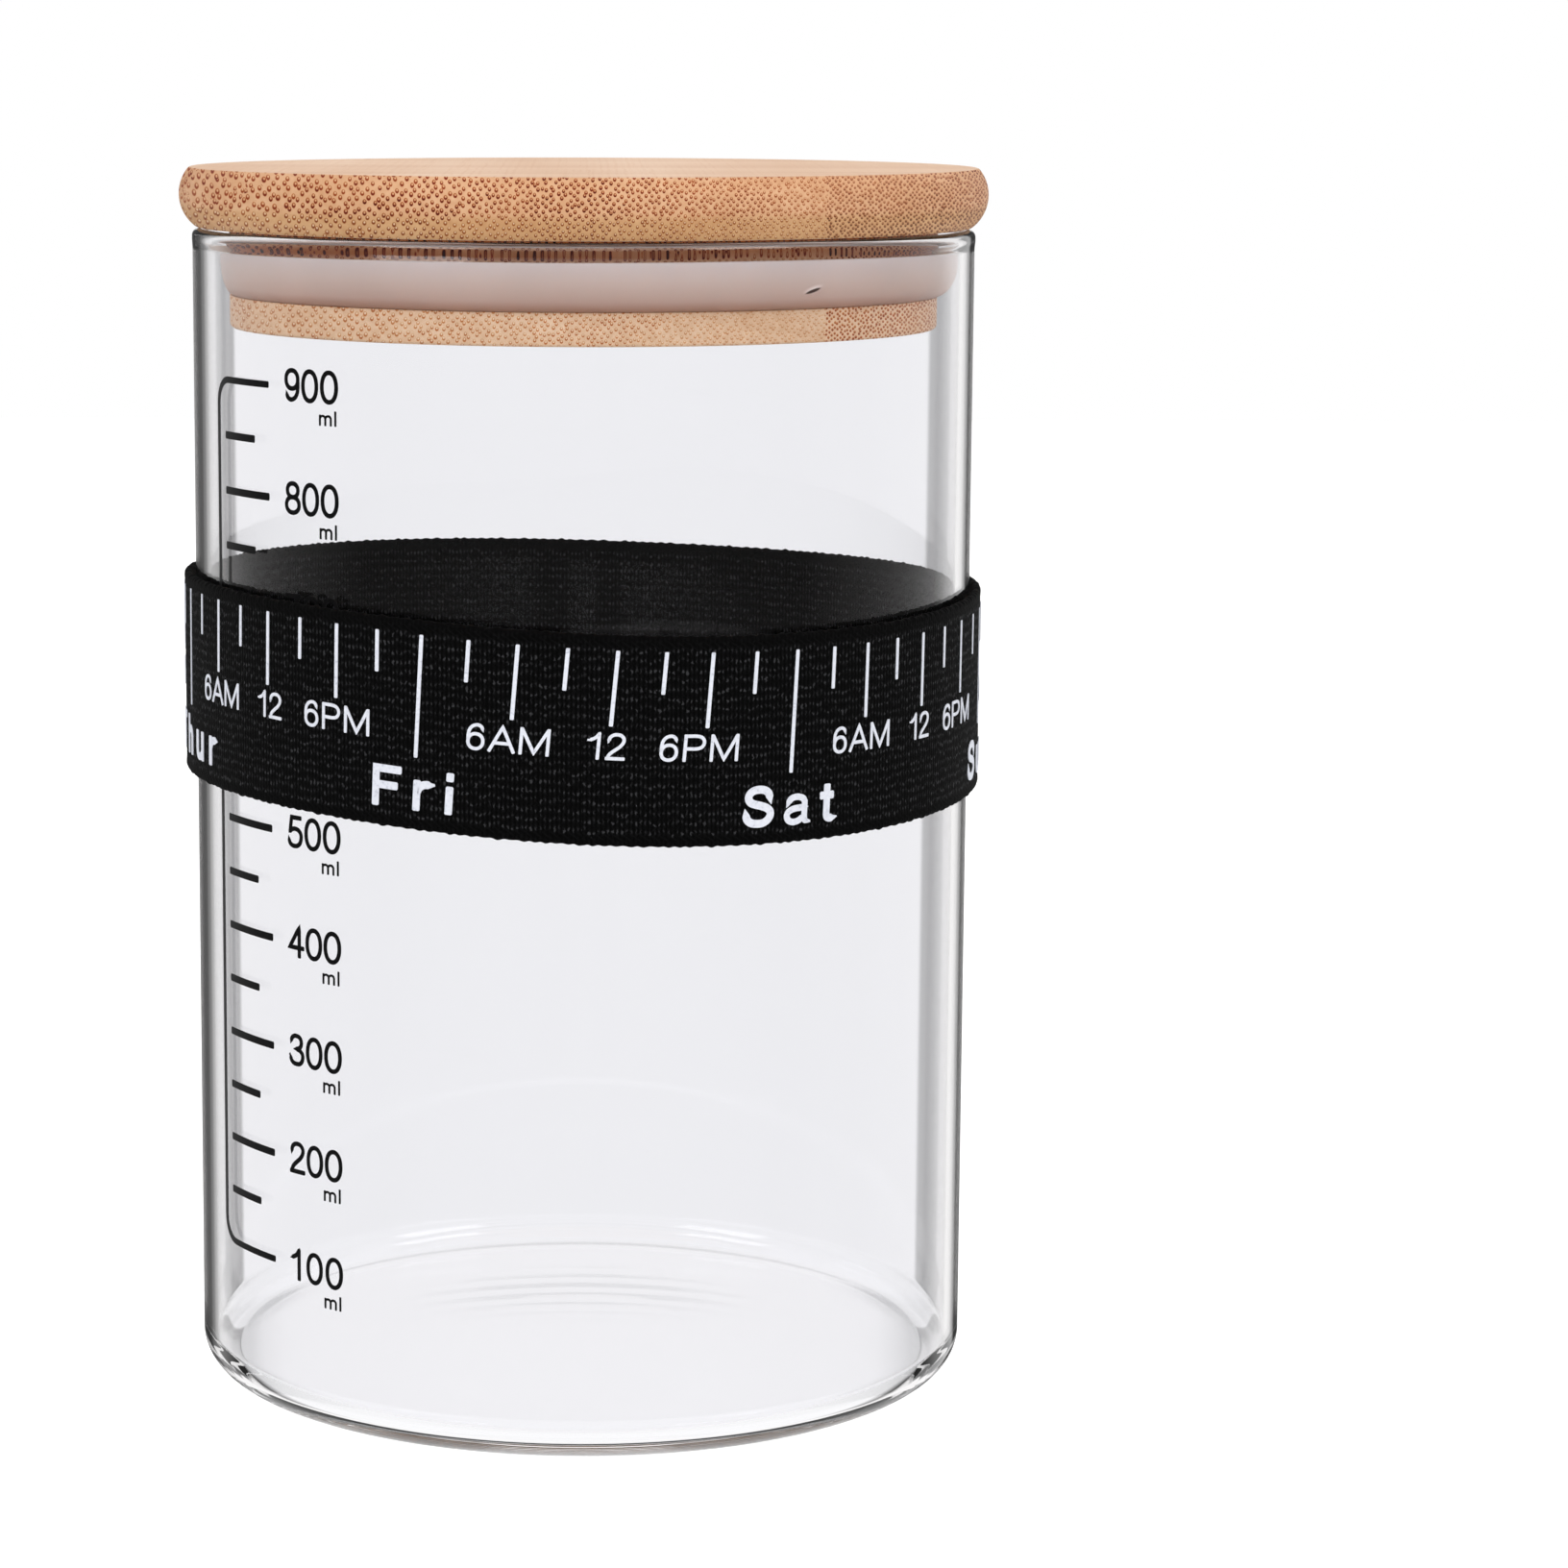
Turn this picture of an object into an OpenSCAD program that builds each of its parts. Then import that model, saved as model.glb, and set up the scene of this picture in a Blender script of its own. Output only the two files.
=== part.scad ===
// Sourdough starter jar: a straight glass jar with a printed millilitre scale, a bamboo lid that a
// sealing ring holds in the mouth, and an elastic band, printed with the week, that slides along the glass.
// Millimetres, +Z up, the front of the jar faces -Y, and the origin is the middle of the base.

/* [Glass jar] */
// Outer diameter of the glass
jar_d = 100; // [86:0.5:120]
// Height of the glass, from the table to the top of the rim
jar_h = 148.4; // [132:0.1:190]
// Thickness of the glass wall
wall = 1.8; // [1.4:0.1:2.6]
// Thickness of the glass floor
floor_t = 2.2; // [1.6:0.1:4]
// Outer radius of the heel, where the wall turns into the floor
heel_r = 4.3; // [3:0.1:7]
// Radius of the heel inside the jar
heel_inner_r = 3.2; // [2:0.1:6]
// Width of the flat ring that the jar stands on
foot_w = 3; // [2:0.5:6]
// Rise of the underside inside that ring
kick = 0.8; // [0.4:0.1:1.5]
// Radius of the soft step between the ring and the raised underside
kick_r = 4; // [2:0.5:6]

/* [Millilitre scale] */
// Height of the 100 ml mark
scale_z = 20.9; // [17:0.1:30]
// Volume from one mark to the next, in millilitres
mark_ml = 50; // [40:5:60]
// Direction of the bracket's upright, in degrees from the front, positive to the right
bracket_deg = -64; // [-80:0.5:-58]
// Bare glass between the upright and the marks that stand free
bracket_gap = 2.1; // [1:0.1:3]
// Length of a 100 ml mark
long_mark = 10.5; // [9:0.1:14]
// Length of a 50 ml mark
half_mark = 7.4; // [4:0.1:8.5]
// Thickness of the printed marks
scale_stroke = 0.85; // [0.5:0.05:1.2]
// Thickness of the upright
bracket_stroke = 0.7; // [0.5:0.05:1.2]
// Radius of the bracket's corners, along the middle of the line
bracket_r = 3; // [2:0.1:5]
// Bare glass between the highest mark and the bottom of the lid
scale_headroom = 3.5; // [1:0.5:8]
// Thickness of the ink
ink_t = 0.06; // [0.04:0.01:0.1]

/* [Bamboo lid] */
// How far the cap stands out beyond the glass
cap_overhang = 1.8; // [1:0.1:4]
// Thickness of the cap
cap_t = 7.5; // [6.5:0.1:9]
// Radius of the cap's bulging edge
edge_r = 5.1; // [4.8:0.1:9]
// Height of the cap's widest point above its underside
edge_h = 4.1; // [3.2:0.1:4.8]
// Radius that eases the cap's upper and lower arrises
ease_r = 0.6; // [0.3:0.1:1.2]
// Gap between the rim and the cap, which the sealing ring keeps
rim_gap = 0.2; // [0.1:0.1:1]
// Gap between the plug and the inside of the glass
plug_gap = 2.9; // [2:0.1:4]
// Height of the plug above the sealing ring
neck_h = 2.4; // [1.5:0.1:5]
// Thickness of the flange below the sealing ring
flange_t = 4.1; // [2.5:0.1:7]
// Depth of the groove that the sealing ring sits in
groove_depth = 2.6; // [1.8:0.1:4]
// Chamfer round the bottom of the plug
plug_chamfer = 0.5; // [0.3:0.1:1]

/* [Sealing ring] */
// Height of the sealing ring, which fills its groove
ring_h = 6.1; // [5:0.1:8]
// Gap between the ring and the glass, as drawn: the real ring is squeezed into it
seal_gap = 0.3; // [0.3:0.1:0.5]
// Radius of the ring's lower outer corner
ring_round = 3.4; // [2:0.1:4]
// Thickness of the lip that presses on the glass
lip_t = 1.3; // [1:0.1:1.8]
// Width of the channel that frees the lip
channel_w = 1.2; // [0.8:0.1:1.8]
// Depth of that channel, from the top of the ring
channel_depth = 3.4; // [2:0.1:4]
// Radius that eases the ring's other corners
ring_ease = 0.35; // [0.2:0.05:0.4]

/* [Time band] */
// Width of the elastic, which stands upright on the glass
band_w = 25.3; // [23:0.1:32]
// Thickness of the elastic
band_t = 1.1; // [0.8:0.1:1.8]
// Gap between the elastic and the ink, as drawn: the real band grips the glass
band_gap = 0.3; // [0.3:0.05:0.5]
// Height of the middle of the band
band_z = 90.2; // [40:0.1:110]
// How much lower the band sits on the right than on the left
band_drop = 2; // [0:0.1:4]

/* [Print on the band] */
// Days that the band counts
days = 7; // [5:1:7]
// Direction of one midnight mark, in degrees from the front, positive to the right
midnight_deg = -21.9; // [-40:0.1:40]
// Length of a midnight mark
midnight_mark = 14.6; // [11:0.1:16]
// Length of the marks at six in the morning, noon and six in the evening
six_mark = 9; // [6:0.1:10]
// Length of the marks in between, three hours from these
three_mark = 5; // [3:0.1:5.5]
// Width of a mark
mark_stroke = 0.5; // [0.3:0.05:0.8]
// Bare elastic above the marks
mark_inset = 1.4; // [0.6:0.1:2.5]
// Thickness of the print
print_t = 0.1; // [0.05:0.01:0.2]

/* [Seam of the band] */
// Mark that the seam stands beside, counted to the left from that midnight mark
seam_mark = 13; // [10:1:20]
// Bare elastic between that mark and the seam
seam_gap = 0.35; // [0.2:0.05:1]
// Width of the zigzag across the seam
seam_w = 2.8; // [2:0.1:3.4]
// Stitches up the seam
stitches = 16; // [8:1:24]
// Thickness of the thread
thread_d = 0.3; // [0.2:0.05:0.5]
// Bare elastic at the two ends of the seam
seam_inset = 0.8; // [0.4:0.1:2]

/* [Hidden] */
$fn = 128;
// Segments along a quarter of a small rounding
arc_steps = 8;
// Parts that the day is divided into on the band
day_parts = 8;

jar_r = jar_d / 2;
inner_r = jar_r - wall;
floor_z = kick + floor_t;
foot_outer_r = jar_r - heel_r;
foot_inner_r = foot_outer_r - foot_w;
// Half of the width of the S-shaped step that rises by kick
kick_half = sqrt(kick_r * kick - kick * kick / 4);
kick_turn = acos(1 - kick / (2 * kick_r));

under_cap_z = jar_h + rim_gap;
plug_r = inner_r - plug_gap;
groove_r = plug_r - groove_depth;
plug_z = under_cap_z - neck_h - ring_h - flange_t;
ring_z = plug_z + flange_t;
ring_r = inner_r - seal_gap;
cap_r = jar_r + cap_overhang;

// A cylinder of that volume and the jar's bore gives the step of the scale
mark_step = mark_ml * 1000 / (PI * inner_r * inner_r);
scale_steps = 2 * floor((plug_z - scale_headroom - scale_z) / (2 * mark_step));
ink_r = jar_r + ink_t;

band_inner_r = ink_r + band_gap;
band_r = band_inner_r + band_t;
band_tilt = atan(band_drop / (2 * band_r));

mark_turn = 360 / (days * day_parts);
seam_shift = mark_stroke / 2 + seam_gap + seam_w / 2;
seam_deg = midnight_deg - seam_mark * mark_turn + seam_shift / band_r * 180 / PI;

// Points along an arc about c of radius r, from angle a0 to a1
function arc(c, r, a0, a1) = [
    for (i = [0:arc_steps])
        let (a = a0 + (a1 - a0) * i / arc_steps)
        c + r * [cos(a), sin(a)]
];

// Profile of the glass, from the middle of the underside, round the rim, to the middle of the floor
function glass_profile() = concat(
    [[0, kick]],
    arc([foot_inner_r - 2 * kick_half, kick - kick_r], kick_r, 90, 90 - kick_turn),
    arc([foot_inner_r, kick_r], kick_r, 270 - kick_turn, 270),
    arc([foot_outer_r, heel_r], heel_r, -90, 0),
    arc([jar_r - wall / 2, jar_h - wall / 2], wall / 2, 0, 180),
    arc([inner_r - heel_inner_r, floor_z + heel_inner_r], heel_inner_r, 0, -90),
    [[0, floor_z]]
);

// The glass jar: blown in one piece, with a melted round rim and a foot ring under the floor
module glass_jar() {
    color("lightcyan", 0.35)
        rotate_extrude()
            polygon(glass_profile());
}

// Turns what is drawn in x and z on a tangent plane into a skin of thickness t on a cylinder
// of radius r, at the direction deg from the front
module wrap(r, t, deg, height) {
    intersection() {
        difference() {
            cylinder(r = r + t, h = height);
            translate([0, 0, -1])
                cylinder(r = r, h = height + 2);
        }
        rotate([0, 0, deg])
            rotate([90, 0, 0])
                linear_extrude(r + t + 1)
                    children();
    }
}

// A printed bar from [x, z], of the given length and thickness
module bar(x, z, length, stroke) {
    translate([x, z - stroke / 2])
        square([length, stroke]);
}

// One rounded corner of the bracket about c: up is 1 above c and -1 below it
module bracket_corner(c, up) {
    intersection() {
        translate(c)
            difference() {
                circle(r = bracket_r + scale_stroke / 2);
                circle(r = bracket_r - scale_stroke / 2);
            }
        translate([c[0] - 2 * bracket_r, up > 0 ? c[1] : c[1] - 2 * bracket_r])
            square(2 * bracket_r);
    }
}

// Black enamel scale, fired onto the outside of the glass: a mark for each 50 ml, and a bracket
// that joins the lowest mark to the highest
module volume_scale() {
    top_z = scale_z + scale_steps * mark_step;
    free_x = bracket_gap;
    end_x = free_x + long_mark;
    color("black")
        wrap(jar_r, ink_t, bracket_deg, jar_h) {
            for (i = [1:scale_steps - 1])
                bar(free_x, scale_z + i * mark_step, i % 2 == 0 ? long_mark : half_mark, scale_stroke);
            for (z = [scale_z, top_z])
                bar(bracket_r, z, end_x - bracket_r, scale_stroke);
            bracket_corner([bracket_r, scale_z + bracket_r], -1);
            bracket_corner([bracket_r, top_z - bracket_r], 1);
            translate([-bracket_stroke / 2, scale_z + bracket_r])
                square([bracket_stroke, top_z - scale_z - 2 * bracket_r]);
        }
}

// Profile of the cap: a flat disc whose edge bulges as one arc, eased where it meets the two faces
function cap_profile() =
    let (c = [cap_r - edge_r, edge_h])
    let (rise = cap_t - ease_r - edge_h)
    let (fall = edge_h - ease_r)
    let (top = [c[0] + sqrt(pow(edge_r - ease_r, 2) - pow(rise, 2)), cap_t - ease_r])
    let (low = [c[0] + sqrt(pow(edge_r - ease_r, 2) - pow(fall, 2)), ease_r])
    let (top_turn = atan2(rise, top[0] - c[0]))
    let (low_turn = atan2(fall, low[0] - c[0]))
    concat(
        [[0, 0]],
        arc(low, ease_r, -90, -low_turn),
        arc(c, edge_r, -low_turn, top_turn),
        arc(top, ease_r, top_turn, 90),
        [[0, cap_t]]
    );

// The cap: the turned bamboo disc that rests over the rim
module lid_cap() {
    color("burlywood")
        translate([0, 0, under_cap_z])
            rotate_extrude()
                polygon(cap_profile());
}

// The plug: the turned bamboo disc glued under the cap, with a groove for the sealing ring
module lid_plug() {
    color("tan")
        rotate_extrude()
            polygon([
                [0, plug_z],
                [plug_r - plug_chamfer, plug_z],
                [plug_r, plug_z + plug_chamfer],
                [plug_r, ring_z],
                [groove_r, ring_z],
                [groove_r, ring_z + ring_h],
                [plug_r, ring_z + ring_h],
                [plug_r, under_cap_z],
                [0, under_cap_z]
            ]);
}

// Section of the sealing ring: it fills the groove, and a channel sunk from the top leaves a thin
// lip that bends against the glass
function ring_profile() =
    let (top = ring_h)
    let (lip_x = ring_r - lip_t)
    let (channel_x = lip_x - channel_w)
    let (channel_z = top - channel_depth)
    let (half = channel_w / 2)
    concat(
        [[groove_r, 0]],
        arc([ring_r - ring_round, ring_round], ring_round, -90, 0),
        arc([ring_r - ring_ease, top - ring_ease], ring_ease, 0, 90),
        arc([lip_x + ring_ease, top - ring_ease], ring_ease, 90, 180),
        arc([lip_x - half, channel_z + half], half, 0, -180),
        arc([channel_x - ring_ease, top - ring_ease], ring_ease, 0, 90),
        [[groove_r, top]]
    );

// The sealing ring: translucent silicone, stretched into the groove of the plug
module sealing_ring() {
    color("mistyrose", 0.8)
        translate([0, 0, ring_z])
            rotate_extrude()
                polygon(ring_profile());
}

// Height of the band's middle at a direction: the band leans, so it sinks from left to right
function band_mid(deg) = band_z - band_drop / 2 * sin(deg);

// The time band: black elastic sewn into a loop, upright on the glass all round, and cut off
// by two parallel planes that lean a little to the right
module time_band() {
    reach = 2 * band_r + 10;
    color([0.08, 0.08, 0.08])
        intersection() {
            difference() {
                cylinder(r = band_r, h = jar_h);
                translate([0, 0, -1])
                    cylinder(r = band_inner_r, h = jar_h + 2);
            }
            translate([0, 0, band_z])
                rotate([0, band_tilt, 0])
                    cube([reach, reach, band_w * cos(band_tilt)], center = true);
        }
}

// Length of the mark number i of a day
function hour_mark(i) = i == 0 ? midnight_mark : i % 2 == 0 ? six_mark : three_mark;

// White print on the band: a mark every three hours, hanging from a line below the upper edge
module band_marks() {
    color("white")
        for (i = [0:days * day_parts - 1]) {
            deg = midnight_deg + i * mark_turn;
            length = hour_mark(i % day_parts);
            turn = mark_stroke / band_r * 180 / PI;
            translate([0, 0, band_mid(deg) + band_w / 2 - mark_inset - length])
                rotate([0, 0, deg - 90 - turn / 2])
                    rotate_extrude(angle = turn)
                        translate([band_r, 0])
                            square([print_t, length]);
        }
}

// The thread that closes the band: one zigzag up the butted ends of the elastic
module band_stitching() {
    mid = band_mid(seam_deg);
    rise = (band_w - 2 * seam_inset - thread_d) / stitches;
    low = mid - rise * stitches / 2;
    lean = atan2(rise, seam_w);
    length = norm([rise, seam_w]);
    color("dimgray")
        wrap(band_r, thread_d, seam_deg, jar_h)
            for (i = [0:stitches - 1])
                translate([0, low + (i + 0.5) * rise])
                    rotate(i % 2 == 0 ? lean : -lean) {
                        square([length, thread_d], center = true);
                        for (end = [-1, 1])
                            translate([end * length / 2, 0])
                                circle(d = thread_d);
                    }
}

glass_jar();
volume_scale();
lid_cap();
lid_plug();
sealing_ring();
time_band();
band_marks();
band_stitching();
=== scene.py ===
# %% [markdown]
# # A sourdough starter jar
# This lesson dresses a imported CAD model of a glass jar in Blender. The jar is blown borosilicate
# glass with a bamboo lid, a silicone sealing ring and a printed elastic band that counts the days.
# The CAD model is the frame: it says where each piece is and how it moves, and nothing here may
# change that. So the first step loads it.

# %% Load the imported model
import math

import bmesh
import bpy
from mathutils import Matrix, Vector


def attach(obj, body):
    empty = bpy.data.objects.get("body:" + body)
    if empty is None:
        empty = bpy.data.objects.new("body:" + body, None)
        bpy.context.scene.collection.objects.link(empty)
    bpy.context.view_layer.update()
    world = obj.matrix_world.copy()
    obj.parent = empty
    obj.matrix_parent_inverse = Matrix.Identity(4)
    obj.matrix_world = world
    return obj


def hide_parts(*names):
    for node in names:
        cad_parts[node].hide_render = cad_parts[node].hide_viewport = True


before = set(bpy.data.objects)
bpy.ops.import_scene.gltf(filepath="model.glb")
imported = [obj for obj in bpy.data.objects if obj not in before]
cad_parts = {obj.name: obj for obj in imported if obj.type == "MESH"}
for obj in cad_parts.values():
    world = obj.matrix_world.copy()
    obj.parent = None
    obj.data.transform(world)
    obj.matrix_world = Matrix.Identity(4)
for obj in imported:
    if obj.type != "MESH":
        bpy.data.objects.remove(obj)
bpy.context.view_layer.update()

scene = bpy.context.scene
MM = 0.001  # the real sizes below are in millimetres, and Blender works in metres

# %% [markdown]
# ## The camera
# The photograph was taken with a long lens a little above the middle of the jar. A camera is
# fitted to the silhouette and to the printed marks, and Blender wants the result as a place, a
# tilt, a focal length and a shift of the frame. The camera comes first, because everything after
# it is compared with the photograph through it.

# %% Camera
camera_data = bpy.data.cameras.new("photo_camera")
camera_data.sensor_width = 36.0
camera_data.lens = 99.73
camera_data.shift_x = 0.1286
camera_data.shift_y = -0.0328
camera = bpy.data.objects.new("photo_camera", camera_data)
scene.collection.objects.link(camera)
scene.camera = camera

CAMERA_DISTANCE, CAMERA_HEIGHT = 560.3, 169.9
LOOKING_DOWN, ROLL = math.radians(8.836), math.radians(0.14)
camera.matrix_world = (
    Matrix.Translation((0, -CAMERA_DISTANCE * MM, CAMERA_HEIGHT * MM))
    @ Matrix.Rotation(math.radians(90) - LOOKING_DOWN, 4, "X")
    @ Matrix.Rotation(ROLL, 4, "Z")
)
scene.view_settings.view_transform = "Standard"
# Light runs down a glass wall as down a fibre, so its paths must be long
scene.cycles.max_bounces = 40
scene.cycles.transmission_bounces = 32
scene.cycles.glossy_bounces = 24
print("camera:", camera_data.lens, "mm lens,", CAMERA_DISTANCE, "mm away")


# %% [markdown]
# ## Helpers for materials
# Colours are chosen as sRGB hex values, the way a colour picker shows them, but a shader works
# with linear light. One function turns the first into the second. Another adds a node to a tree,
# sets it up and links its inputs, and a few short ones name the nodes that come back most, so
# that a material reads as a list of steps.

# %% Colour and node helpers
def linear(hex_colour):
    """Turns an sRGB colour such as '#C8A078' into the linear RGBA of a shader."""
    channels = [int(hex_colour[i:i + 2], 16) / 255 for i in (1, 3, 5)]
    light = [c / 12.92 if c <= 0.04045 else ((c + 0.055) / 1.055) ** 2.4 for c in channels]
    return (*light, 1.0)


def grey(value):
    """A grey of that linear value."""
    return (value, value, value, 1.0)


def tint(colour):
    """Lets a colour be given as a hex value, as a grey level, or ready made."""
    if isinstance(colour, str):
        return linear(colour)
    return grey(colour) if isinstance(colour, (int, float)) else colour


def add(tree, kind, inputs=None, ramp=None, **settings):
    """Adds a node. inputs maps its sockets to values or to other nodes' outputs."""
    made = tree.nodes.new("ShaderNode" + kind)
    for key, value in settings.items():
        setattr(made, key, value)
    for key, value in (inputs or {}).items():
        if isinstance(value, bpy.types.NodeSocket):
            tree.links.new(value, made.inputs[key])
        else:
            made.inputs[key].default_value = value
    if ramp:
        stops = made.color_ramp.elements
        while len(stops) < len(ramp):
            stops.new(1.0)
        for stop, (place, colour) in zip(stops, ramp):
            stop.position, stop.color = place, colour
    return made


def maths(tree, operation, *values):
    """The result of a sum on one, two or three values."""
    return add(tree, "Math", dict(enumerate(values)), operation=operation).outputs[0]


def times(tree, first, *others):
    """The product of two or more values."""
    for other in others:
        first = maths(tree, "MULTIPLY", first, other)
    return first


def vectors(tree, operation, *values):
    """The same on vectors. LENGTH gives a number."""
    outputs = add(tree, "VectorMath", dict(enumerate(values)), operation=operation).outputs
    return outputs["Value" if operation == "LENGTH" else "Vector"]


def span(tree, value, low, high, start=0.0, end=1.0, smooth=False):
    """Maps low..high to start..end and holds both ends. A smooth span eases in and out."""
    return add(tree, "MapRange", {0: value, 1: low, 2: high, 3: start, 4: end},
               interpolation_type="SMOOTHSTEP" if smooth else "LINEAR").outputs[0]


def choose(tree, share, one, two):
    """Mixes two numbers."""
    return add(tree, "Mix", {0: share, 2: one, 3: two}, data_type="FLOAT").outputs[0]


def blend(tree, share, one, two, how="MIX"):
    """Mixes two colours."""
    return add(tree, "Mix", {0: share, 6: tint(one), 7: tint(two)}, data_type="RGBA",
               blend_type=how).outputs[2]


def shades(tree, value, stops):
    """A colour ramp, as (place, colour) stops."""
    ramp = [(place, tint(colour)) for place, colour in stops]
    return add(tree, "ValToRGB", {0: value}, ramp=ramp).outputs[0]


def stretch(tree, vector, scale, **more):
    """Scales a place, and may also turn or move it."""
    return add(tree, "Mapping", {"Vector": vector, "Scale": scale, **more}).outputs[0]


def noise(tree, vector, scale, detail):
    """Smooth noise."""
    return add(tree, "TexNoise", {"Vector": vector, "Scale": scale, "Detail": detail}).outputs[0]


def bump(tree, height, distance, strength):
    """A normal that follows a fine relief, its distance in metres."""
    return add(tree, "Bump", {
        "Height": height, "Distance": distance, "Strength": strength}).outputs[0]


def material(name):
    """A new material, its empty tree, and the place of each point on the object in metres."""
    made = bpy.data.materials.new(name)
    made.use_nodes = True
    made.node_tree.nodes.clear()
    return made, made.node_tree, add(made.node_tree, "TexCoord").outputs["Object"]


def surface(tree, inputs):
    """Ends a material in one principled shader."""
    shader = add(tree, "BsdfPrincipled", inputs)
    add(tree, "OutputMaterial", {"Surface": shader.outputs[0]})


# %% [markdown]
# ## The studio
# Clear glass has no colour of its own: it shows what is around it, bent. Product photographers
# put a white panel behind the glass and leave dark gaps beside the panel, and those gaps draw
# the dark lines that hold the edge of the jar. The world does the same here. A ray that left the
# camera sees plain white. A ray that went through glass, or bounced off it, sees the panel, the
# gaps and the bright sides by its direction. Diffuse surfaces see an even pale sky, so that
# wood and cloth render about as their colours are written.

# %% World
STUDIO_DEPTH = 0.06  # the dim half of the studio, behind the camera
SKY_LIGHT = 0.62  # for diffuse surfaces
SKY_THROUGH_GLASS = 1.3  # for those behind glass, which takes its share on the way
LEVEL_END, STEEP = 0.40, 0.52  # how steep a ray may be, as its z, before it sees plain white
RIM_BOX = 4.5  # the two soft boxes that draw lights on the rim
INSIDE_TINT = 0.985  # what each step from red to blue keeps of the light seen inside the wall
OTHER_SIDES = 0.7  # how much the gaps fade to white, away from the photograph's view

world = bpy.data.worlds.new("studio")
scene.world = world
world.use_nodes = True
sky = world.node_tree
sky.nodes.clear()

# Degrees from the line of sight, negative to the left, and the light that comes from there
SECTOR, FADE_FROM, FADE_TO = 45.0, 22.0, 23.0
BEHIND = [(-22.5, 0.84), (-18.0, 0.78), (-14.2, 0.62), (-13.0, 0.36), (-11.0, 0.34), (-10.5, 1.08),
          (-6.0, 1.02), (6.0, 1.02), (10.0, 1.08), (10.5, 0.50), (12.0, 0.48), (13.0, 0.56),
          (15.6, 0.72), (18.0, 0.84), (22.5, 0.92)]
EDGE_LEFT = [(-36, 0.88), (-32.5, 0.5), (-29.5, 0.34), (-28, 0.14), (-24.5, 0.09), (-21, 0.08),
             (-9.5, 0.11), (-8, 1.0)]
EDGE_RIGHT = [(8, 1.0), (9, 0.10), (13, 0.07), (22, 0.07), (23.5, 0.5), (25, 0.9), (28, 1.0),
              (32, 0.95)]
OUTER_SIDE = [(44, 0.8), (54, 0.2), (70, 0.09), (112, STUDIO_DEPTH)]
INNER_SIDE = [(40, 0.95), (80, 0.45), (112, 0.12)]
# Where the soft boxes are: degrees off the line of sight, and height as the z of a ray
BOX_TURN = [(0, 0.0), (110, 0.0), (114, 1.0), (142, 1.0), (146, 0.0)]
BOX_RISE = [(0.0, 0.0), (0.36, 0.0), (0.42, 1.0), (0.70, 1.0), (0.74, 0.0)]


def both_sides(side):
    """Puts the same lights at the left as at the right of the edge lines."""
    return [(-deg, light) for deg, light in side[::-1]] + EDGE_LEFT + EDGE_RIGHT + side


axes = add(sky, "SeparateXYZ", {0: add(sky, "TexCoord").outputs["Generated"]}).outputs
heading = maths(sky, "ARCTAN2", axes[0], axes[1])
# The panel and its gaps come back in every sector, but much paler than behind the jar, so that
# the glass keeps its edges from every side and its middle stays clear
half_sector = math.radians(SECTOR / 2)
nearest = maths(sky, "WRAP", heading, half_sector, -half_sector)
share = span(sky, nearest, -half_sector, half_sector)
in_front = shades(sky, share, [(deg / SECTOR + 0.5, light) for deg, light in BEHIND])
off_axis = maths(sky, "ABSOLUTE", heading)
elsewhere = span(sky, off_axis, math.radians(FADE_FROM), math.radians(FADE_TO), 0.0, OTHER_SIDES)
behind_glass = blend(sky, elsewhere, in_front, 1.0)
mirror_share = maths(sky, "DIVIDE", off_axis, math.pi)
all_round = span(sky, heading, -math.pi, math.pi)
off_outside, off_inside = [
    shades(sky, all_round, [(deg / 360 + 0.5, (light, light * warm, light * warm ** 2, 1.0))
                            for deg, light in both_sides(side)])
    for side, warm in ((OUTER_SIDE, 1.0), (INNER_SIDE, INSIDE_TINT))]

path = add(sky, "LightPath").outputs
bounced_off_matt = maths(sky, "GREATER_THAN", path["Diffuse Depth"], 0.5)
bounced_off_gloss = maths(sky, "GREATER_THAN", path["Glossy Depth"], 0.5)
went_through = maths(sky, "GREATER_THAN", path["Transmission Depth"], 0.5)
mirrored = blend(sky, went_through, off_outside, off_inside)
level_view = blend(sky, bounced_off_gloss, behind_glass, mirrored)
steepness = span(sky, maths(sky, "ABSOLUTE", axes[2]), LEVEL_END, STEEP)
above_level = blend(sky, steepness, level_view, 1.0)
# Two soft boxes stand high at the left and right front, where only the melted rim mirrors them
box_turn = shades(sky, mirror_share, [(deg / 180, light) for deg, light in BOX_TURN])
box_rise = shades(sky, axes[2], BOX_RISE)
box_seen = times(sky, box_turn, box_rise, bounced_off_gloss)
seen_by_gloss = blend(sky, box_seen, above_level, RIM_BOX)
even_light = blend(sky, went_through, SKY_LIGHT, SKY_THROUGH_GLASS)
seen_by_all = blend(sky, bounced_off_matt, seen_by_gloss, even_light)
seen = blend(sky, path["Is Camera Ray"], seen_by_all, 1.0)
background = add(sky, "Background", {"Color": seen, "Strength": 1.0})
add(sky, "OutputWorld", {"Surface": background.outputs[0]})
print("world:", len(BEHIND), "stops behind the glass,", len(both_sides(OUTER_SIDE)), "off it")

# %% [markdown]
# ## The floor
# The jar stands on a pale sweep that is as white as the background. It is part paint and part
# glow: the glow keeps it white for the camera, and the paint keeps a soft shadow under the jar.
# Light that comes through the jar passes the floor and meets the world, so that the dark edge
# lines run down to the heel as they do in the photograph.

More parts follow.
